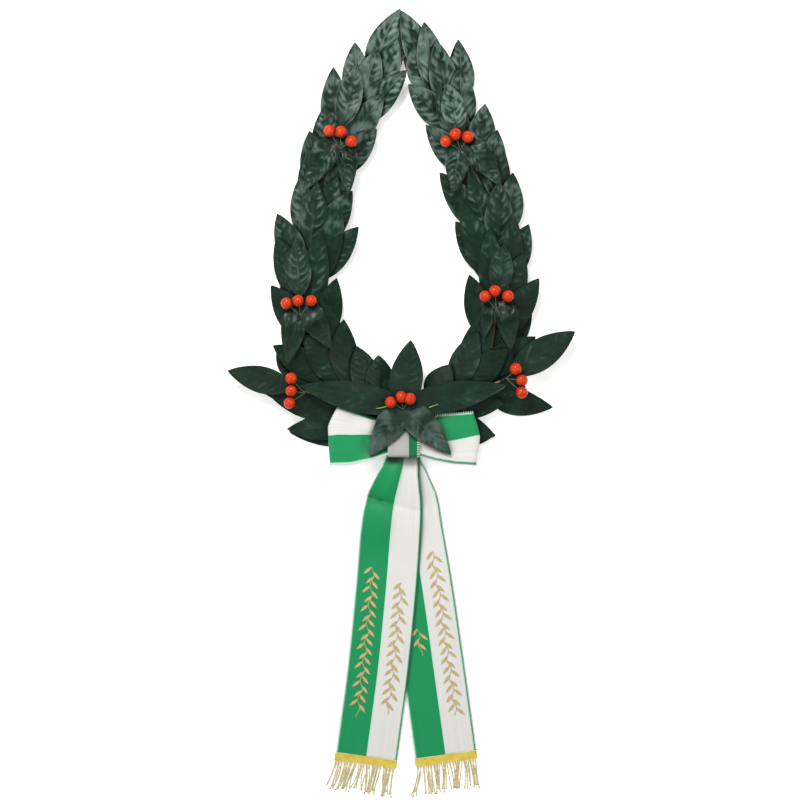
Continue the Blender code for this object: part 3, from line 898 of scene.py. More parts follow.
def floor_finish(made):
    """Pale, nearly white studio floor with a faint tone."""
    colour = bpy.context.scene.wreath_stage.floor
    tone = made.remap(made.noise(made.objects(), 3, 2), 0.3, 0.7, 0.0, 0.3)
    made.set(Base_Color=made.mix(tone, colour, times(colour, 0.98)), Roughness=0.9,
             Emission_Color=(1, 1, 1, 1), Emission_Strength=FLOOR_GLOW)


FINISHES = {
    "waxed leaf": leaf_finish, "green stem": stem_finish, "pale stalk": stalk_finish,
    "crepe wrap": wrap_finish, "lacquered berry": berry_finish, "berry wire": wire_finish,
    "two-tone ribbon": ribbon_finish, "two-tone band in painted shade": band_finish, "white picot": white_picot_finish,
    "green picot": green_picot_finish, "gold braid": braid_finish, "fringe thread": thread_finish,
    "gold foil": foil_finish, "studio floor": floor_finish,
}


def blade_half_width(share, width, stalk=STALK_SHARE, skew=OVAL_SKEW, root_fullness=OVAL_FULLNESS):
    """Half width of a laurel leaf at a share of its length: a stalk, then a pointed oval."""
    if share <= stalk:
        return STALK_HALF_WIDTH
    blade = (share - stalk) / (1 - stalk)
    fullness = root_fullness if blade ** skew < 0.5 else OVAL_FULLNESS
    oval = math.sin(math.pi * blade ** skew) ** fullness
    floor = STALK_HALF_WIDTH if blade < 0.5 else TIP_HALF_WIDTH
    return max(0.5 * width * oval, floor)


MOULD_COLUMNS = 18
MOULD_ROWS = 72
MOULD_LENGTH = 90
MOULD_COUNT = 4
MOULD_SEED = 11.7
VEIN_LEAN = 0.5
VEIN_CURVE = 0.035
VEIN_STAGGER = 0.35
GROOVE_WIDTH = 1.2
MIDRIB_WIDTH = 0.6
EMBOSS = {"vein": 1, "panel": -0.35, "groove": -0.5, "midrib": 0.7, "rim": 0.25}
WAVES = {"slow": 0.6, "dent": 0.7, "crease": 0.9}
# How much each feature moves a blade's tone: paler on the vein ridges and the rim, a painted highlight;
# darker in the groove, dents and creases, painted shade; the paler midrib and the mottle are the leaf's own
# tone
TONES = {"vein": 0.6, "groove": -0.25, "midrib": 0.5, "mottle": 0.3, "dent": 0.45, "crease": 0.7,
         "rim": 0.3}
MEAN_TONE = 0.24
ROOT_PAINTED_SHADE = 0.25


def blade_features(settings, seed, along, across):
    """The features of a blade's surface at a spot: how much of each there is."""
    half = blade_half_width(along, settings.width / MM)
    out = abs(across)
    start = along * MOULD_LENGTH - VEIN_LEAN * out * half - VEIN_CURVE * (out * half) ** 2
    wobble = 0.7 * noise.noise(Vector((along * 4, across * 1.5, seed)))
    phase = start / (settings.vein_gap / MM) + wobble + (VEIN_STAGGER if across > 0 else 0)
    strength = 0.7 + 1.6 * noise.noise(Vector((round(phase) * 0.83, across * 1.2, seed + 1.9)))
    ridge = (0.5 + 0.5 * math.cos(2 * math.pi * phase)) ** 3
    reach = smoothstep(0.04, 0.22, out) * (1 - 0.85 * smoothstep(0.6, 1.0, out))
    on_blade = smoothstep(STALK_SHARE, STALK_SHARE + 0.1, along) * (1 - 0.6 * smoothstep(0.8, 1, along))
    slow = noise.noise(Vector((along * 3.2, across * 1.1, seed + 7.3)))
    folds = abs(noise.noise(Vector((along * 5.5, across * 1.7, seed + 9.7))))
    return {
        "vein": ridge * reach * on_blade * strength,
        "panel": abs(math.sin(math.pi * phase)) * reach * on_blade,
        "groove": bell(out * half, 0, GROOVE_WIDTH) * on_blade,
        "midrib": bell(out * half, 0, MIDRIB_WIDTH) * on_blade,
        "rim": smoothstep(0.86, 1.0, out) * on_blade,
        "slow": slow,
        "mottle": slow * on_blade,
        "dent": noise.noise(Vector((along * 9, across * 2.3, seed + 3.1))) * on_blade,
        "crease": (0.3 - folds) * on_blade,
    }


def weigh(features, weights):
    """The sum of some features, each by its weight."""
    return sum(weight * features[name] for name, weight in weights.items())


def make_moulds():
    """The pressed blades that every leaf is copied from: x is the share across, y along, z in mm."""
    settings = bpy.context.scene.wreath_leaves
    moulds = []
    for number in range(MOULD_COUNT):
        obj = grid(MOULD_COLUMNS, MOULD_ROWS)
        for name in ("relief", "hue"):
            obj.data.attributes.new(name, "FLOAT", "POINT")
        tones = obj.data.attributes["relief"].data
        for vertex in obj.data.vertices:
            along = (vertex.co.y + 1) / 2
            features = blade_features(settings, MOULD_SEED * number, along, vertex.co.x)
            # The tone paints light over the blade's relief: paler ridges and darker hollows
            tone = MEAN_TONE + weigh(features, TONES)
            # Painted shade: a blade darkens towards its root, which lies deep under the leaves above it
            tone *= ROOT_PAINTED_SHADE + (1 - ROOT_PAINTED_SHADE) * smoothstep(0.12, 0.42, along)
            tones[vertex.index].value = min(1.0, max(0.0, tone))
            height = settings.vein_height * weigh(features, EMBOSS)
            height += settings.wave_height * weigh(features, WAVES)
            vertex.co = (vertex.co.x, along, height / MM)
        obj.name = f"mould_{number}"
        moulds.append(obj)
    return moulds


CREST_PLACE = 0.36
CREST_RISE = 0.2
CREST_FALL = 0.13
CREST_SHADE = 0.45
CREST_SHADE_RUN = 0.12
SOFT_CREST = 3
FOLDED_STALK = 0.02
FOLDED_SKEW = 0.6
BROAD_SKEW = 0.78
BROAD_FULLNESS = 0.45
BLADE_WARP = 0.35
CALM_RELIEF = 0.7
LOW_RELIEF = 0.3
RELIEF_SPAN = (70, 300)
PAINTED_LIGHT_SPAN = (60, 430)
LOW_PAINTED_SHADE = 0.2
TOP_PAINTED_LIGHT = 1.25
CREST_PAINTED_SHADE = 0.85
DROOPING_TONE = 0.21
LEAF_TONES = (0.75, 1.15)


def crest_fold(crest, share, across, seed):
    """How far a folded leaf stands up at its crest, in mm, with creases that run over it."""
    place = CREST_PLACE + 0.05 * noise.noise(Vector((across * 1.4, seed, 0.5)))
    spread = CREST_RISE if share < place else CREST_FALL
    crumple = noise.noise(Vector((across * 2.6, share * 4, seed)))
    crease = abs(noise.noise(Vector((across * 3.4, share * 2.2, seed + 5))))
    return crest * (bell(share, place, spread) * (1 + 0.35 * crumple - 0.5 * crease) + 0.1 * crumple)


def press_leaf(mould, root, tip, width, bow, height, draw, crest=0.0, sides=(1, 1)):
    """A copy of a mould, laid from its root to its tip at the height that a rule gives."""
    obj = copy_of(mould)
    start = Vector(root)
    run = Vector(tip) - start
    side = Vector((-run.y, run.x)).normalized()
    seed = draw.uniform(0, 50)
    hand = draw.choice((-1, 1))
    hue = draw.random()
    brightness = draw.uniform(*LEAF_TONES)
    tones = obj.data.attributes["relief"].data
    hues = obj.data.attributes["hue"].data
    shape = (STALK_SHARE, OVAL_SKEW)
    if crest:
        shape = (FOLDED_STALK, FOLDED_SKEW if crest > 1 else BROAD_SKEW,
                 OVAL_FULLNESS if crest > SOFT_CREST else BROAD_FULLNESS)
    upper = smoothstep(*RELIEF_SPAN, start.y)
    calm = (LOW_RELIEF + (1 - LOW_RELIEF) * upper) * (CALM_RELIEF if crest > 1 else 1.0)
    paler = DROOPING_TONE if 1 < crest < SOFT_CREST else 0.0
    # Painted light: blades are darker towards the bottom of the wreath and paler towards its point, where the
    # key light falls
    brightness *= LOW_PAINTED_SHADE + (TOP_PAINTED_LIGHT - LOW_PAINTED_SHADE) * part_way(*PAINTED_LIGHT_SPAN, start.y)
    # Painted shade: a leaf that folds over a high crest is darker all over
    if crest > SOFT_CREST:
        brightness *= CREST_PAINTED_SHADE
    for vertex in obj.data.vertices:
        across, share, relief = vertex.co
        across *= hand
        half = blade_half_width(share, width, *shape) * (sides[0] if across > 0 else sides[1])
        spot = start + run * share + side * (bow * 4 * share * (1 - share) + across * half)
        warp = BLADE_WARP * noise.noise(Vector((share * 2.3, across * 0.9, seed)))
        level = height(spot.x, spot.y, share) + relief * calm + warp
        tone = tones[vertex.index].value * brightness
        if crest:
            level += crest_fold(crest, share, across, seed)
        # Painted shade past the crest, where the folded blade turns away from the light
        if crest > SOFT_CREST:
            tone *= 1 - CREST_SHADE * smoothstep(CREST_PLACE, CREST_PLACE + CREST_SHADE_RUN, share)
        tones[vertex.index].value = min(1.0, tone + paler)
        hues[vertex.index].value = hue
        vertex.co = Vector((spot.x, spot.y, level)) * MM
    if hand < 0:
        edit_all(obj, bpy.ops.mesh.flip_normals)
    return obj


def foliage_height(rise, root_along):
    """The rule for a blade whose root reads this far along the guide."""
    def height(x, y, share):
        along, beside = GUIDE.read(x, y)
        arch = ARCH_DROP * (1 - math.exp(-(beside / ARCH_REACH) ** 2))
        return TWIG_Z + rise * (along - root_along) - arch
    return height


def spray_height(level, lift):
    """The rule for a spray's blade: at the stem at its root, then lifted clear of its neighbours."""
    def height(x, y, share):
        lifted = min(1, share / SPRAY_LIFT_SHARE)
        return level - SPRAY_ROOT_DROP + lift * (SPRAY_ROOT_SPREAD + (1 - SPRAY_ROOT_SPREAD) * lifted)
    return height


def low_height(level, rise):
    """The rule for an inner blade: nearly level, from a height at its root."""
    def height(x, y, share):
        return level + rise * share
    return height


def paint_deep_shade(blade, tone):
    """Paints shade on a blade that lies deep among the others, by darkening its tone."""
    for spot in blade.data.attributes["relief"].data:
        spot.value *= tone


def twig_points(side, entries):
    """The middle line of the twig that carries some leaves."""
    first = entries[0][0] - TWIG_OVERHANG
    last = entries[-1][0] + TWIG_OVERHANG
    count = max(2, int((last - first) / TWIG_STEP) + 1)
    spots = [GUIDE.at(first + (last - first) * step / count) for step in range(count + 1)]
    return [(side * spot.x, spot.y, TWIG_Z) for spot in spots]


def with_stem(blades, stem_line, radius, name, replaced):
    """Leaf blades joined to one piece with their stem, which keeps its own finish."""
    foliage = join(blades)
    thicken(foliage, bpy.context.scene.wreath_leaves.thickness)
    foliage.data.materials.clear()
    foliage.data.materials.append(finish("waxed leaf"))
    stem = tube(stem_line, radius, 8)
    stem.data.materials.append(finish("green stem"))
    return finish_piece(join([foliage, stem]), name, None, [replaced])


class WREATH_OT_hoop(bpy.types.Operator):
    """Wraps the wire hoop in crepe tape"""

    bl_idname = "wreath.hoop"
    bl_label = "Hoop wrap"

    def execute(self, context):
        flat = catmull(HOOP_HALF, 5) + [Vector(point) for point in HOOP_CROWN]
        right = [Vector((p.x, p.y, HOOP_CENTRE_Z + WRAP_LIFT)) for p in flat]
        line = right + [Vector((-p.x, p.y, p.z)) for p in reversed(right[1:-1])]
        obj = tube(even_steps(line + line[:1], WRAP_SPACING), HOOP_RADIUS, 12, True)
        for vertex in obj.data.vertices:
            x, y, z = vertex.co / MM
            along = GUIDE.read(x, y)[0]
            turn = math.atan2(z - HOOP_CENTRE_Z, 1.0 if abs(x) > GUIDE.at(along).x else -1.0)
            lap = ((along / LAP_LENGTH + turn / (2 * math.pi)) % 1.0) - 0.5
            vertex.co.z = max(GROUND, z + LAP_HEIGHT * lap) * MM
        finish_piece(obj, "hoop_wrap", "crepe wrap", ["hoop"])
        return {"FINISHED"}


class WREATH_OT_foliage(bpy.types.Operator):
    """Lays the veined leaves along both branches"""

    bl_idname = "wreath.foliage"
    bl_label = "Leafy twigs"

    def execute(self, context):
        settings = context.scene.wreath_leaves
        moulds = make_moulds()
        draw = random.Random(FOLIAGE_SEED)
        count = 0
        for label, side, sprigs in (("left", -1, LEFT_SPRIGS), ("right", 1, RIGHT_SPRIGS)):
            for number, entries in enumerate(sprigs, 1):
                blades = []
                for root, tip_x, tip_y, *bow in entries:
                    foot = GUIDE.at(root)
                    rule = foliage_height(settings.rise, GUIDE.read(foot.x, foot.y)[0])
                    blades.append(press_leaf(moulds[count % MOULD_COUNT], (side * foot.x, foot.y),
                                             (tip_x, tip_y), settings.width / MM, sum(bow), rule, draw))
                    count += 1
                with_stem(blades, twig_points(side, entries), TWIG_RADIUS,
                          f"leafy_twig_{label}_{number:02d}", f"sprig_{label}_{number:02d}")
        discard(*moulds)
        return {"FINISHED"}


class WREATH_OT_sprays(bpy.types.Operator):
    """Lays the berry sprays and their creased leaves on top"""

    bl_idname = "wreath.sprays"
    bl_label = "Berry sprays"

    def execute(self, context):
        moulds = make_moulds()
        draw = random.Random(SPRAY_SEED)
        for number, (place, plan) in enumerate(SPRAYS.items()):
            top = Vector(plan["stem"][-1])
            blades = []
            for leaf, (tip, width, lift, crest, left, right) in enumerate(plan["leaves"]):
                mould = moulds[(number + leaf) % MOULD_COUNT]
                blades.append(press_leaf(mould, top.xy, tip, width, 0, spray_height(top.z, lift), draw,
                                         crest, (left, right)))
            line = catmull(plan["stem"], SPRAY_STEPS)
            with_stem(blades, line, SPRAY_RADIUS, f"leafy_spray_{place}", f"spray_{place}")
            if place == "middle":
                self.add_stalks()
        for number, (root, tip, width, level, rise, tone) in enumerate(INNER_LEAVES, 1):
            rule = low_height(level, rise)
            blade = press_leaf(moulds[number % MOULD_COUNT], root, tip, width, 0, rule, draw)
            paint_deep_shade(blade, tone)
            finish_piece(blade, f"inner_leaf_{number}", "waxed leaf")
        discard(*moulds)
        return {"FINISHED"}

    def add_stalks(self):
        """The yellow-green leaf stalks that show beside the middle berries."""
        for number, line in enumerate(MIDDLE_STALKS, 1):
            stalk = tube(catmull(line, 5), STALK_RADIUS, 8, taper=STALK_TAPER)
            finish_piece(stalk, f"middle_stalk_{number}", "pale stalk")


class WREATH_OT_berries(bpy.types.Operator):
    """Makes the clusters of glossy berries on their wires"""

    bl_idname = "wreath.berries"
    bl_label = "Berries"

    def execute(self, context):
        settings = context.scene.wreath_berries
        draw = random.Random(BERRY_SEED)
        berry = self.model_berry(settings)
        for place, plan in CLUSTERS.items():
            root = Vector(plan["root"])
            berries = []
            wires = []
            for x, y in plan["berries"]:
                middle = Vector((x, y, plan["level"]))
                twin = copy_of(berry)
                size = draw.uniform(*BERRY_SIZES)
                turn = draw.uniform(0, BERRY_TURN)
                towards = (root - middle).normalized().to_track_quat("-Z", "Y")
                for vertex in twin.data.vertices:
                    spun = Vector((vertex.co.x * math.cos(turn) - vertex.co.y * math.sin(turn),
                                   vertex.co.x * math.sin(turn) + vertex.co.y * math.cos(turn), vertex.co.z))
                    vertex.co = towards @ spun * size + middle * MM
                berries.append(twin)
                bend = (root + middle) / 2 + Vector((0, 0, WIRE_BEND))
                wires.append(tube(catmull([root, bend, middle], 6), settings.wire_radius / MM, 8,
                                  taper=WIRE_TAPER))
            finish_piece(join(berries), f"berry_cluster_{place}", "lacquered berry",
                         [f"berries_{place}"])
            finish_piece(join(wires), f"berry_wires_{place}", "berry wire")
        discard(berry)
        return {"FINISHED"}

    def model_berry(self, settings):
        """One berry: a ball, a little lumpy and drawn in at its stalk."""
        obj = added(bpy.ops.mesh.primitive_uv_sphere_add, segments=28, ring_count=20, radius=settings.radius)
        for vertex in obj.data.vertices:
            x, y, z = vertex.co / settings.radius
            lump = 1 + BERRY_LUMP * noise.noise(Vector((x, y, z)) * 1.7)
            dimple = BERRY_DIMPLE * bell(math.hypot(x, y), 0, DIMPLE_SPREAD) if z < 0 else 0
            vertex.co = Vector((x * lump, y * lump, z * (lump - dimple))) * settings.radius
        bpy.ops.object.shade_smooth()
        return obj


def read_table(table, x):
    """A value between the rows of a short table, on straight lines."""
    for (x0, y0), (x1, y1) in zip(table, table[1:]):
        if x <= x1:
            return y0 + (y1 - y0) * (x - x0) / (x1 - x0)
    return table[-1][1]


PICOT_SIDES = 6
PICOT_SHARE = 0.5
PICOT_HALF_DEPTH = 0.18
PICOT_RUN = 240
PICOT_INNER = 0.03


def model_picots(edge_points, outwards, name):
    """Small flat loops along a ribbon's edge: one is modelled, and copied along the edge's points."""
    settings = bpy.context.scene.wreath_ribbon
    gap = settings.picot_gap / MM
    half = gap * PICOT_SHARE / 2
    reach = settings.picot_reach / MM
    tooth = added(bpy.ops.mesh.primitive_circle_add, vertices=PICOT_SIDES, radius=1, fill_type="NGON")
    shape = [(v.co.x * half, v.co.y * reach) for v in tooth.data.vertices]
    discard(tooth)
    picots = bmesh.new()
    length = 0.0
    due = 0.0
    for before, after, out in zip(edge_points, edge_points[1:], outwards):
        step = (after - before).length
        while due <= length + step and step > 0:
            spot = before.lerp(after, (due - length) / step)
            run = (after - before) / step
            up = run.cross(out).normalized() * PICOT_HALF_DEPTH
            low, high = ([picots.verts.new((spot + run * a + out * b + up * lift) * MM) for a, b in shape]
                         for lift in (-1, 1))
            picots.faces.new(high)
            picots.faces.new(list(reversed(low)))
            for index in range(PICOT_SIDES):
                other = (index + 1) % PICOT_SIDES
                picots.faces.new((low[index], low[other], high[other], high[index]))
            due += gap
        length += step
    return object_from(picots, name)


def edge_picots(place, across, name, look):
    """Picots along one edge of a sheet that a rule places."""
    points, inner = ([Vector(place(step / PICOT_RUN, share)) for step in range(PICOT_RUN + 1)]
                     for share in (across, abs(across - PICOT_INNER)))
    outwards = [(a - b).normalized() for a, b in zip(points, inner)]
    return finish_piece(model_picots(points, outwards, name), name, look)


def both_edges(place, name, green_side=0):
    """White picots on the green edge and green ones on the white edge."""
    return [edge_picots(place, green_side, f"{name}_picots_white", "white picot"),
            edge_picots(place, 1 - green_side, f"{name}_picots_green", "green picot")]


def corner_inset(plan, across):
    """How far a loop's turned end draws in above and below its furthest point."""
    above, furthest, below = plan["inset"]
    if across > furthest:
        return above * ((across - furthest) / (1 - furthest)) ** 1.2
    return below * ((furthest - across) / furthest) ** 1.5


def move_divider(obj, divider):
    """Moves the line between a ribbon's colours to the share across that a rule gives."""
    for corner in obj.data.uv_layers.active.data:
        middle = divider(corner.uv.y)
        if corner.uv.x < middle:
            corner.uv.x = 0.5 * corner.uv.x / middle
        else:
            corner.uv.x = 0.5 + 0.5 * (corner.uv.x - middle) / (1 - middle)


def flip_map(obj):
    """Turns the ribbon's colours over, by mirroring its UV map across."""
    for corner in obj.data.uv_layers.active.data:
        corner.uv.x = 1 - corner.uv.x


class WREATH_OT_bow(bpy.types.Operator):
    """Makes the two bow loops and the band round the middle"""

    bl_idname = "wreath.bow"
    bl_label = "Bow"

    def execute(self, context):
        self.make_loop(context, "left", -1, LEFT_LOOP)
        self.make_loop(context, "right", 1, RIGHT_LOOP)
        self.make_band(context)
        return {"FINISHED"}

    def make_loop(self, context, label, side, plan):
        """One flattened loop, pleated where the band gathers it."""
        settings = context.scene.wreath_ribbon
        turn = (LOOP_HIGH_Z - LOOP_LOW_Z) / 2

        def place(along, across):
            reach = plan["reach"] - corner_inset(plan, across)
            straight = reach - turn - LOOP_INNER_END
            length = 2 * straight + math.pi * turn
            distance = along * length
            if distance < straight:
                x, z = LOOP_INNER_END + distance, LOOP_LOW_Z
            elif distance > length - straight:
                x, z = LOOP_INNER_END + length - distance, LOOP_HIGH_Z
            else:
                angle = (distance - straight) / turn
                x = reach - turn + turn * math.sin(angle)
                z = (LOOP_LOW_Z + LOOP_HIGH_Z) / 2 - turn * math.cos(angle)
            low = read_table(plan["bottom"], x)
            high = read_table(plan["top"], x)
            gather = 1 - smoothstep(*LOOP_GATHER, x)
            pleat = LOOP_PLEAT * math.cos(2 * math.pi * (2.5 * across + 0.1))
            wave = LOOP_WAVE * noise.noise(Vector((x * 0.035, across * 1.6, plan["seed"])))
            if distance > length / 2:
                for dent_x, dent_across, depth, spread in plan["dents"]:
                    away = math.hypot(x - dent_x, (across - dent_across) * DENT_WIDTH)
                    wave -= depth * bell(away, 0, spread)
            return side * x, low + (high - low) * across, z + (pleat - LOOP_SINK) * gather + wave

        obj = place_sheet(*LOOP_GRID, place, settings.thickness)
        move_divider(obj, lambda along: read_table(plan["divider"], abs(place(along, 0.5)[0])))
        if side > 0:
            flip_map(obj)
        finish_piece(obj, f"bow_ribbon_{label}", "two-tone ribbon", [f"bow_loop_{label}"])
        picots = both_edges(place, f"bow_ribbon_{label}", 1 if side > 0 else 0)

    def make_band(self, context):
        """The band of folded ribbon round the middle of the bow."""
        settings = context.scene.wreath_ribbon
        half_y = (BAND_Y[1] - BAND_Y[0] - 1) / 2 - BAND_CORNER
        half_z = (BAND_Z[1] - BAND_Z[0] - 1) / 2 - BAND_CORNER
        middle_y = (BAND_Y[0] + BAND_Y[1]) / 2
        middle_z = (BAND_Z[0] + BAND_Z[1]) / 2

        def place(along, across):
            angle = 2 * math.pi * along
            y = half_y * max(-1, min(1, BAND_SQUARENESS * math.cos(angle))) + BAND_CORNER * math.cos(angle)
            z = half_z * max(-1, min(1, BAND_SQUARENESS * math.sin(angle))) + BAND_CORNER * math.sin(angle)
            out = math.sin(angle)
            pleat = BAND_PLEAT * (math.cos(2 * math.pi * (1.5 * across + 0.2)) * out - abs(out))
            return (2 * across - 1) * BAND_HALF_WIDTH, middle_y + y, middle_z + z + pleat

        obj = lay_grid(*BAND_GRID, place)
        for corner in obj.data.uv_layers.active.data:
            share = 1 - corner.uv.x
            if share < BAND_GREEN_SHARE:
                corner.uv.x = BAND_GREEN_END * share / BAND_GREEN_SHARE
            else:
                white = (share - BAND_GREEN_SHARE) / (1 - BAND_GREEN_SHARE)
                corner.uv.x = BAND_WHITE_START + BAND_WHITE_RUN * white
        edit_all(obj, merge_doubles, face_outwards)
        thicken(obj, settings.thickness)
        finish_piece(obj, "bow_knot", "two-tone band in painted shade", ["bow_band"])
        loops = edge_picots(place, 1, "bow_knot_picots", "white picot")


class Tail:
    """A ribbon tail's middle line, read by a share along it and a share across."""

    def __init__(self, table, ridge, seed):
        self.line = catmull([row[:3] for row in table], TAIL_STEPS)
        self.widths = [width.x for width in catmull([(row[3], 0) for row in table], TAIL_STEPS)]
        self.ridge = ridge
        self.seed = seed
        self.runs = run_lengths(self.line)
        self.length = self.runs[-1]

    def place(self, along, across):
        """A point of the ribbon's surface; across runs from the left edge to the right one."""
        distance = along * self.length
        index = 0
        while index < len(self.runs) - 2 and self.runs[index + 1] < distance:
            index += 1
        part = (distance - self.runs[index]) / (self.runs[index + 1] - self.runs[index])
        middle = self.line[index].lerp(self.line[index + 1], part)
        width = self.widths[index] + (self.widths[index + 1] - self.widths[index]) * part
        run = self.line[index + 1] - self.line[index]
        side = Vector((-run.y, run.x, 0)).normalized()
        spot = middle + side * width * (across - 0.5)
        gather = 1 - smoothstep(*TAIL_GATHER, distance)
        pleat = TAIL_PLEAT * gather * math.cos(4 * math.pi * across)
        past = distance - (CREASE_START + CREASE_SLANT * across)
        if past < 0:
            valley = (1 - math.exp(past / CREASE_RISE)) * smoothstep(*CREASE_FROM, distance)
        else:
            valley = (1 - math.exp(-past / CREASE_FALL)) * (1 - smoothstep(*CREASE_TO, past))
        fold = self.ridge * (1.1 - 0.85 * smoothstep(*CREASE_ACROSS, across)) * valley
        wave = 1 + noise.noise(Vector((distance * 0.012, across * 0.8, self.seed)))
        wave *= TAIL_WAVE * (1 - gather) * (1 - smoothstep(*TAIL_SETTLE, along))
        return spot + Vector((0, 0, pleat + fold + wave))

    def end(self):
        """Where the tail ends, which way it points and how wide it is."""
        run = self.line[-1] - self.line[-2]
        run.z = 0
        return self.line[-1].copy(), run.normalized(), self.widths[-1]


TAILS = {"left": Tail(LEFT_TAIL, 7.0, 2.0), "right": Tail(RIGHT_TAIL, 1.0, 6.0)}


class WREATH_OT_tails(bpy.types.Operator):
    """Lays the two ribbon tails"""

    bl_idname = "wreath.tails"
    bl_label = "Ribbon tails"

    def execute(self, context):
        settings = context.scene.wreath_ribbon
        for label, tail in TAILS.items():
            obj = place_sheet(*TAIL_GRID, tail.place, settings.thickness)
            move_divider(obj, lambda along: 0.5 + TOP_SHIFT * (1 - smoothstep(*TOP_SHIFT_SPAN, along)))
            finish_piece(obj, f"tail_ribbon_{label}", "two-tone ribbon", [f"tail_{label}"])
            picots = both_edges(tail.place, f"tail_ribbon_{label}")
        return {"FINISHED"}


class WREATH_OT_trim(bpy.types.Operator):
    """Makes the gold braid and the twisted fringe at the tails' ends"""

    bl_idname = "wreath.trim"
    bl_label = "Braid and fringe"

    def execute(self, context):
        for label, tail in TAILS.items():
            self.make_braid(label, tail)
            self.make_fringe(context, label, tail)
        return {"FINISHED"}

    def make_braid(self, label, tail):
        """The flat woven braid across a tail's end."""
        end, forward, width = tail.end()
        side = Vector((-forward.y, forward.x, 0))

        def place(along, across):
            edge = bell(along, 0, 0.08) + bell(along, 1, 0.08)
            turns = across * BRAID_TURNS + abs(along - 0.5) * BRAID_CHEVRON
            weave = BRAID_RELIEF * math.sin(2 * math.pi * turns)
            spot = end + side * (across - 0.5) * (width + BRAID_OVERHANG)
            spot += forward * (FIT_GAP + BRAID_DEPTH * along + BRAID_SAG * math.sin(across * 9))
            spot.z = BRAID_LEVEL + weave * (1 - edge) + BRAID_EDGE * edge
            return spot

        obj = place_sheet(*BRAID_GRID, place, BRAID_THICKNESS)
        finish_piece(obj, f"gold_braid_{label}", "gold braid", [f"braid_{label}"])

    def make_fringe(self, context, label, tail):
        """Twisted threads that hang in loose bunches below the braid."""
        settings = context.scene.wreath_trim
        end, forward, width = tail.end()
        side = Vector((-forward.y, forward.x, 0))
        draw = random.Random(FRINGE_SEEDS[label])
        thread = self.model_thread(settings)
        count = settings.thread_count
        threads = []
        pull = 0.0
        for number in range(count):
            if number % draw.choice(FRINGE_BUNCHES) == 0:
                pull = draw.uniform(*FRINGE_PULL)
            offset = width * ((number + 0.5) / count - 0.5) + draw.uniform(-0.5, 0.5)
            reach = FRINGE_LENGTH * draw.uniform(*FRINGE_REACH)
            lean = pull - FRINGE_LEAN * (1 - number / count) + draw.uniform(-FRINGE_STRAY, FRINGE_STRAY)
            curve = draw.uniform(-FRINGE_CURVE, FRINGE_CURVE)
            layer = LAYER_HEIGHT * (0.55 + number % FRINGE_LAYERS)
            twin = copy_of(thread)
            for vertex in twin.data.vertices:
                x, y, z = vertex.co
                spot = end + side * (offset + x + lean * y ** 1.3 + curve * math.sin(math.pi * y))
                spot += forward * (FIT_GAP + BRAID_DEPTH - FRINGE_TUCK + reach * y)
                spot.z = max(0.05, z + FRINGE_LIFT + layer * math.sin(math.pi * min(1, y * 1.4)))
                vertex.co = spot * MM
            threads.append(twin)
        finish_piece(join(threads), f"gold_fringe_{label}", "fringe thread", [f"fringe_{label}"])
        discard(thread)

    def model_thread(self, settings):
        """One two-ply thread of length 1 along y, its other sizes in mm."""
        obj = added(bpy.ops.mesh.primitive_cylinder_add, vertices=8, radius=1, depth=1)

        def cut_rings():
            for ring in range(1, THREAD_RINGS):
                bpy.ops.mesh.select_all(action="SELECT")
                bpy.ops.mesh.bisect(plane_co=(0, 0, ring / THREAD_RINGS - 0.5), plane_no=(0, 0, 1))

        edit_all(obj, cut_rings)
        radius = settings.thread_radius / MM
        for vertex in obj.data.vertices:
            x, y, z = vertex.co
            share = 0.5 - z
            angle = math.atan2(y, x)
            ply = 1 + THREAD_PLY * math.cos(2 * (angle - share * THREAD_TWIST))
            frayed = 1 + THREAD_FRAY * smoothstep(0.93, 1.0, share)
            vertex.co = (radius * ply * frayed * math.cos(angle), share, radius * ply * math.sin(angle))
        edit_all(obj, face_outwards)
        bpy.ops.object.shade_smooth()
        return obj


# Gold foil vines on the tails: tail, share across, first and last share along
VINES = [("left", 0.26, 0.44, 0.89), ("left", 0.74, 0.48, 0.87), ("right", 0.76, 0.40, 0.89),
         ("right", 0.33, 0.62, 0.70)]
VINE_STEP = 11
VINE_LEAF = 12.5
VINE_SWAY = 1.8
VINE_STEM = 0.35
VINE_SAMPLES = 6
VINE_OUTLINE = [(0, 0.2), (0.2, 1.2), (0.45, 1.9), (0.7, 1.4), (1, 0.1), (0.7, -1.4), (0.45, -1.9),
                (0.2, -1.2)]
VINE_AXIS = (0.72, 0.68)
VINE_SIDE = (-0.62, 0.72)
FOIL_LIFT = 0.32
FOIL_THICKNESS = 0.00012


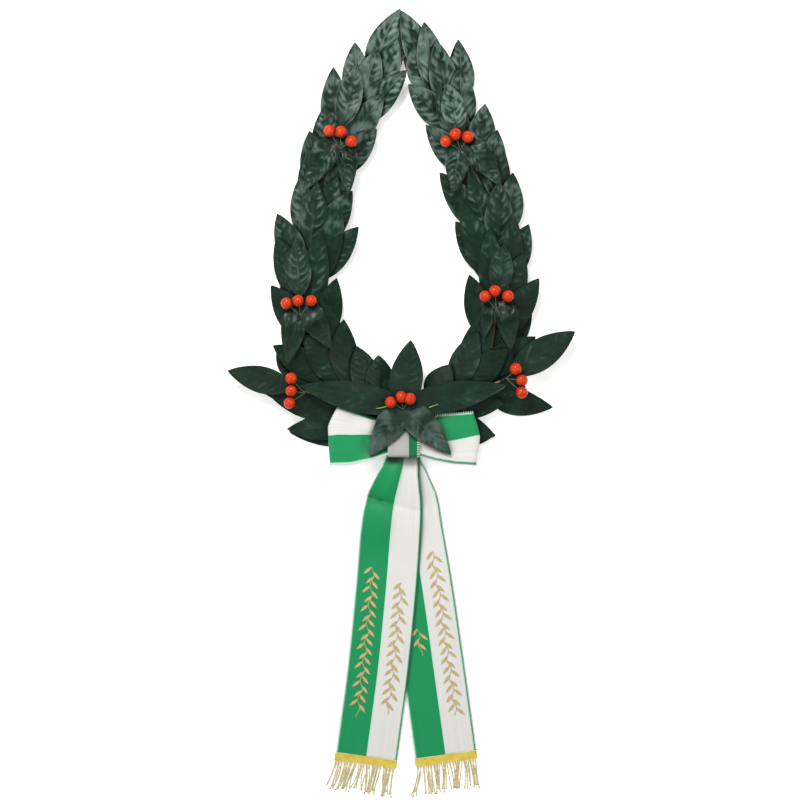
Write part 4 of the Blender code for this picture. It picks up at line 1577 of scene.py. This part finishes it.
class WREATH_OT_foil(bpy.types.Operator):
    """Stamps plain gold foil vines on the tails"""

    bl_idname = "wreath.foil"
    bl_label = "Gold foil vines"

    def execute(self, context):
        for number, (label, across, first, last) in enumerate(VINES, 1):
            self.stamp(label, across, first, last, number)
        return {"FINISHED"}

    def stamp(self, label, across, first, last, number):
        """One vine: a swaying stem with a leaf to each side at every step."""
        tail = TAILS[label]
        start = first * tail.length
        stop = last * tail.length
        steps = int((stop - start) / VINE_STEP)
        foil = bmesh.new()
        for step in range(steps):
            base = start + step * VINE_STEP
            self.add_face(foil, tail, across, self.leaf_outline(base, -1))
            self.add_face(foil, tail, across, self.leaf_outline(base + VINE_STEP / 2, 1))
        samples = steps * VINE_SAMPLES
        line = [start + (stop - start) * sample / samples for sample in range(samples + 1)]
        stem = [(distance, self.sway(distance)) for distance in line]
        for (d0, s0), (d1, s1) in zip(stem, stem[1:]):
            right = [(d0, s0 - VINE_STEM), (d1, s1 - VINE_STEM)]
            left = [(d1, s1 + VINE_STEM), (d0, s0 + VINE_STEM)]
            self.add_face(foil, tail, across, right + left)
        obj = object_from(foil, "foil")
        thicken(obj, FOIL_THICKNESS)
        finish_piece(obj, f"gold_foil_{label}_{number}", "gold foil")

    def sway(self, distance):
        """How far the stem lies beside its middle line."""
        return VINE_SWAY * math.sin(math.pi * distance / VINE_STEP)

    def leaf_outline(self, base, hand):
        """A pointed leaf that leans forwards from the stem, as (distance, offset) points."""
        points = []
        for share, half in VINE_OUTLINE:
            forwards = VINE_LEAF * share * VINE_AXIS[0] + half * VINE_SIDE[0]
            sideways = hand * (VINE_LEAF * share * VINE_AXIS[1] + half * VINE_SIDE[1])
            points.append((base + forwards, self.sway(base) + sideways))
        return points

    def add_face(self, foil, tail, across, outline):
        """One flat patch of foil, laid on the ribbon."""
        corners = []
        for distance, offset in outline:
            share = min(0.999, distance / tail.length)
            spot = tail.place(share, across + offset / tail.widths[-1]) + Vector((0, 0, FOIL_LIFT))
            corners.append(foil.verts.new(spot * MM))
        foil.faces.new(corners)


class WREATH_OT_stage(bpy.types.Operator):
    """Sets the pale floor, the soft lights and the camera above the wreath"""

    bl_idname = "wreath.stage"
    bl_label = "Floor, lights and camera"

    def execute(self, context):
        settings = context.scene.wreath_stage
        floor = added(bpy.ops.mesh.primitive_plane_add, size=FLOOR_SIZE, location=(0, 0, -FLOOR_DROP))
        floor.name = "studio_floor"
        bpy.ops.object.transform_apply(location=True, rotation=True, scale=True)
        floor.data.materials.append(finish("studio floor"))
        self.light("key", KEY_PLACE, KEY_SIZE, settings.key)
        for name, spot in FILL_PLACES.items():
            self.light(name, spot, FILL_SIZE, settings.fill)
        world = bpy.data.worlds.new("sky")
        world.use_nodes = True
        sky = world.node_tree.nodes["Background"].inputs
        sky["Color"].default_value = (1, 1, 1, 1)
        sky["Strength"].default_value = settings.sky
        context.scene.world = world
        context.scene.view_settings.view_transform = "Standard"
        self.camera(context, settings)
        return {"FINISHED"}

    def light(self, name, spot, size, power):
        """A square soft light that looks at the wreath's middle."""
        lamp = added(bpy.ops.object.light_add, type="AREA", location=spot)
        lamp.name = name
        lamp.data.size = size
        lamp.data.energy = power
        lamp.rotation_euler = (Vector(LIGHT_TARGET) - Vector(spot)).to_track_quat("-Z", "Y").to_euler()

    def camera(self, context, settings):
        """A long lens straight above, which sees the photograph's frame."""
        middle = (FRAME_PIXELS / 2 - ORIGIN_PIXEL[0], ORIGIN_PIXEL[1] - FRAME_PIXELS / 2)
        spot = (middle[0] * PIXEL_MM * MM, middle[1] * PIXEL_MM * MM, settings.camera_height)
        camera = added(bpy.ops.object.camera_add, location=spot, rotation=(0, 0, 0))
        camera.name = "camera_above"
        camera.data.sensor_width = SENSOR_WIDTH
        camera.data.lens = SENSOR_WIDTH * settings.camera_height / (FRAME_PIXELS * PIXEL_MM * MM)
        camera.data.clip_end = FAR_CLIP
        context.scene.camera = camera


class WREATH_PT_panel(bpy.types.Panel):
    """Lists the wreath's pieces and settings"""

    bl_idname = "WREATH_PT_panel"
    bl_label = "Laurel wreath"
    bl_space_type = "VIEW_3D"
    bl_region_type = "UI"
    bl_category = "Wreath"

    def draw(self, context):
        for settings, operators in SECTIONS:
            box = self.layout.box()
            group = getattr(context.scene, settings)
            for key in group.__annotations__:
                box.prop(group, key)
            for operator in operators:
                box.operator(operator.bl_idname)


SECTIONS = [
    ("wreath_leaves", [WREATH_OT_hoop, WREATH_OT_foliage, WREATH_OT_sprays]),
    ("wreath_berries", [WREATH_OT_berries]),
    ("wreath_ribbon", [WREATH_OT_bow, WREATH_OT_tails]),
    ("wreath_trim", [WREATH_OT_trim, WREATH_OT_foil]),
    ("wreath_stage", [WREATH_OT_stage]),
]
GROUPS = {"wreath_leaves": LeafSettings, "wreath_berries": BerrySettings, "wreath_ribbon": RibbonSettings,
          "wreath_trim": TrimSettings, "wreath_stage": StageSettings}


def register():
    for name, group in GROUPS.items():
        bpy.utils.register_class(group)
        setattr(bpy.types.Scene, name, bpy.props.PointerProperty(type=group))
    for settings, operators in SECTIONS:
        for operator in operators:
            bpy.utils.register_class(operator)
    bpy.utils.register_class(WREATH_PT_panel)


def unregister():
    bpy.utils.unregister_class(WREATH_PT_panel)
    for settings, operators in reversed(SECTIONS):
        for operator in reversed(operators):
            bpy.utils.unregister_class(operator)
    for name, group in GROUPS.items():
        delattr(bpy.types.Scene, name)
        bpy.utils.unregister_class(group)


def main():
    register()
    bpy.ops.wreath.stage()
    bpy.ops.wreath.hoop()
    bpy.ops.wreath.foliage()
    bpy.ops.wreath.sprays()
    bpy.ops.wreath.berries()
    bpy.ops.wreath.bow()
    bpy.ops.wreath.tails()
    bpy.ops.wreath.trim()
    bpy.ops.wreath.foil()


if __name__ == "__main__":
    main()
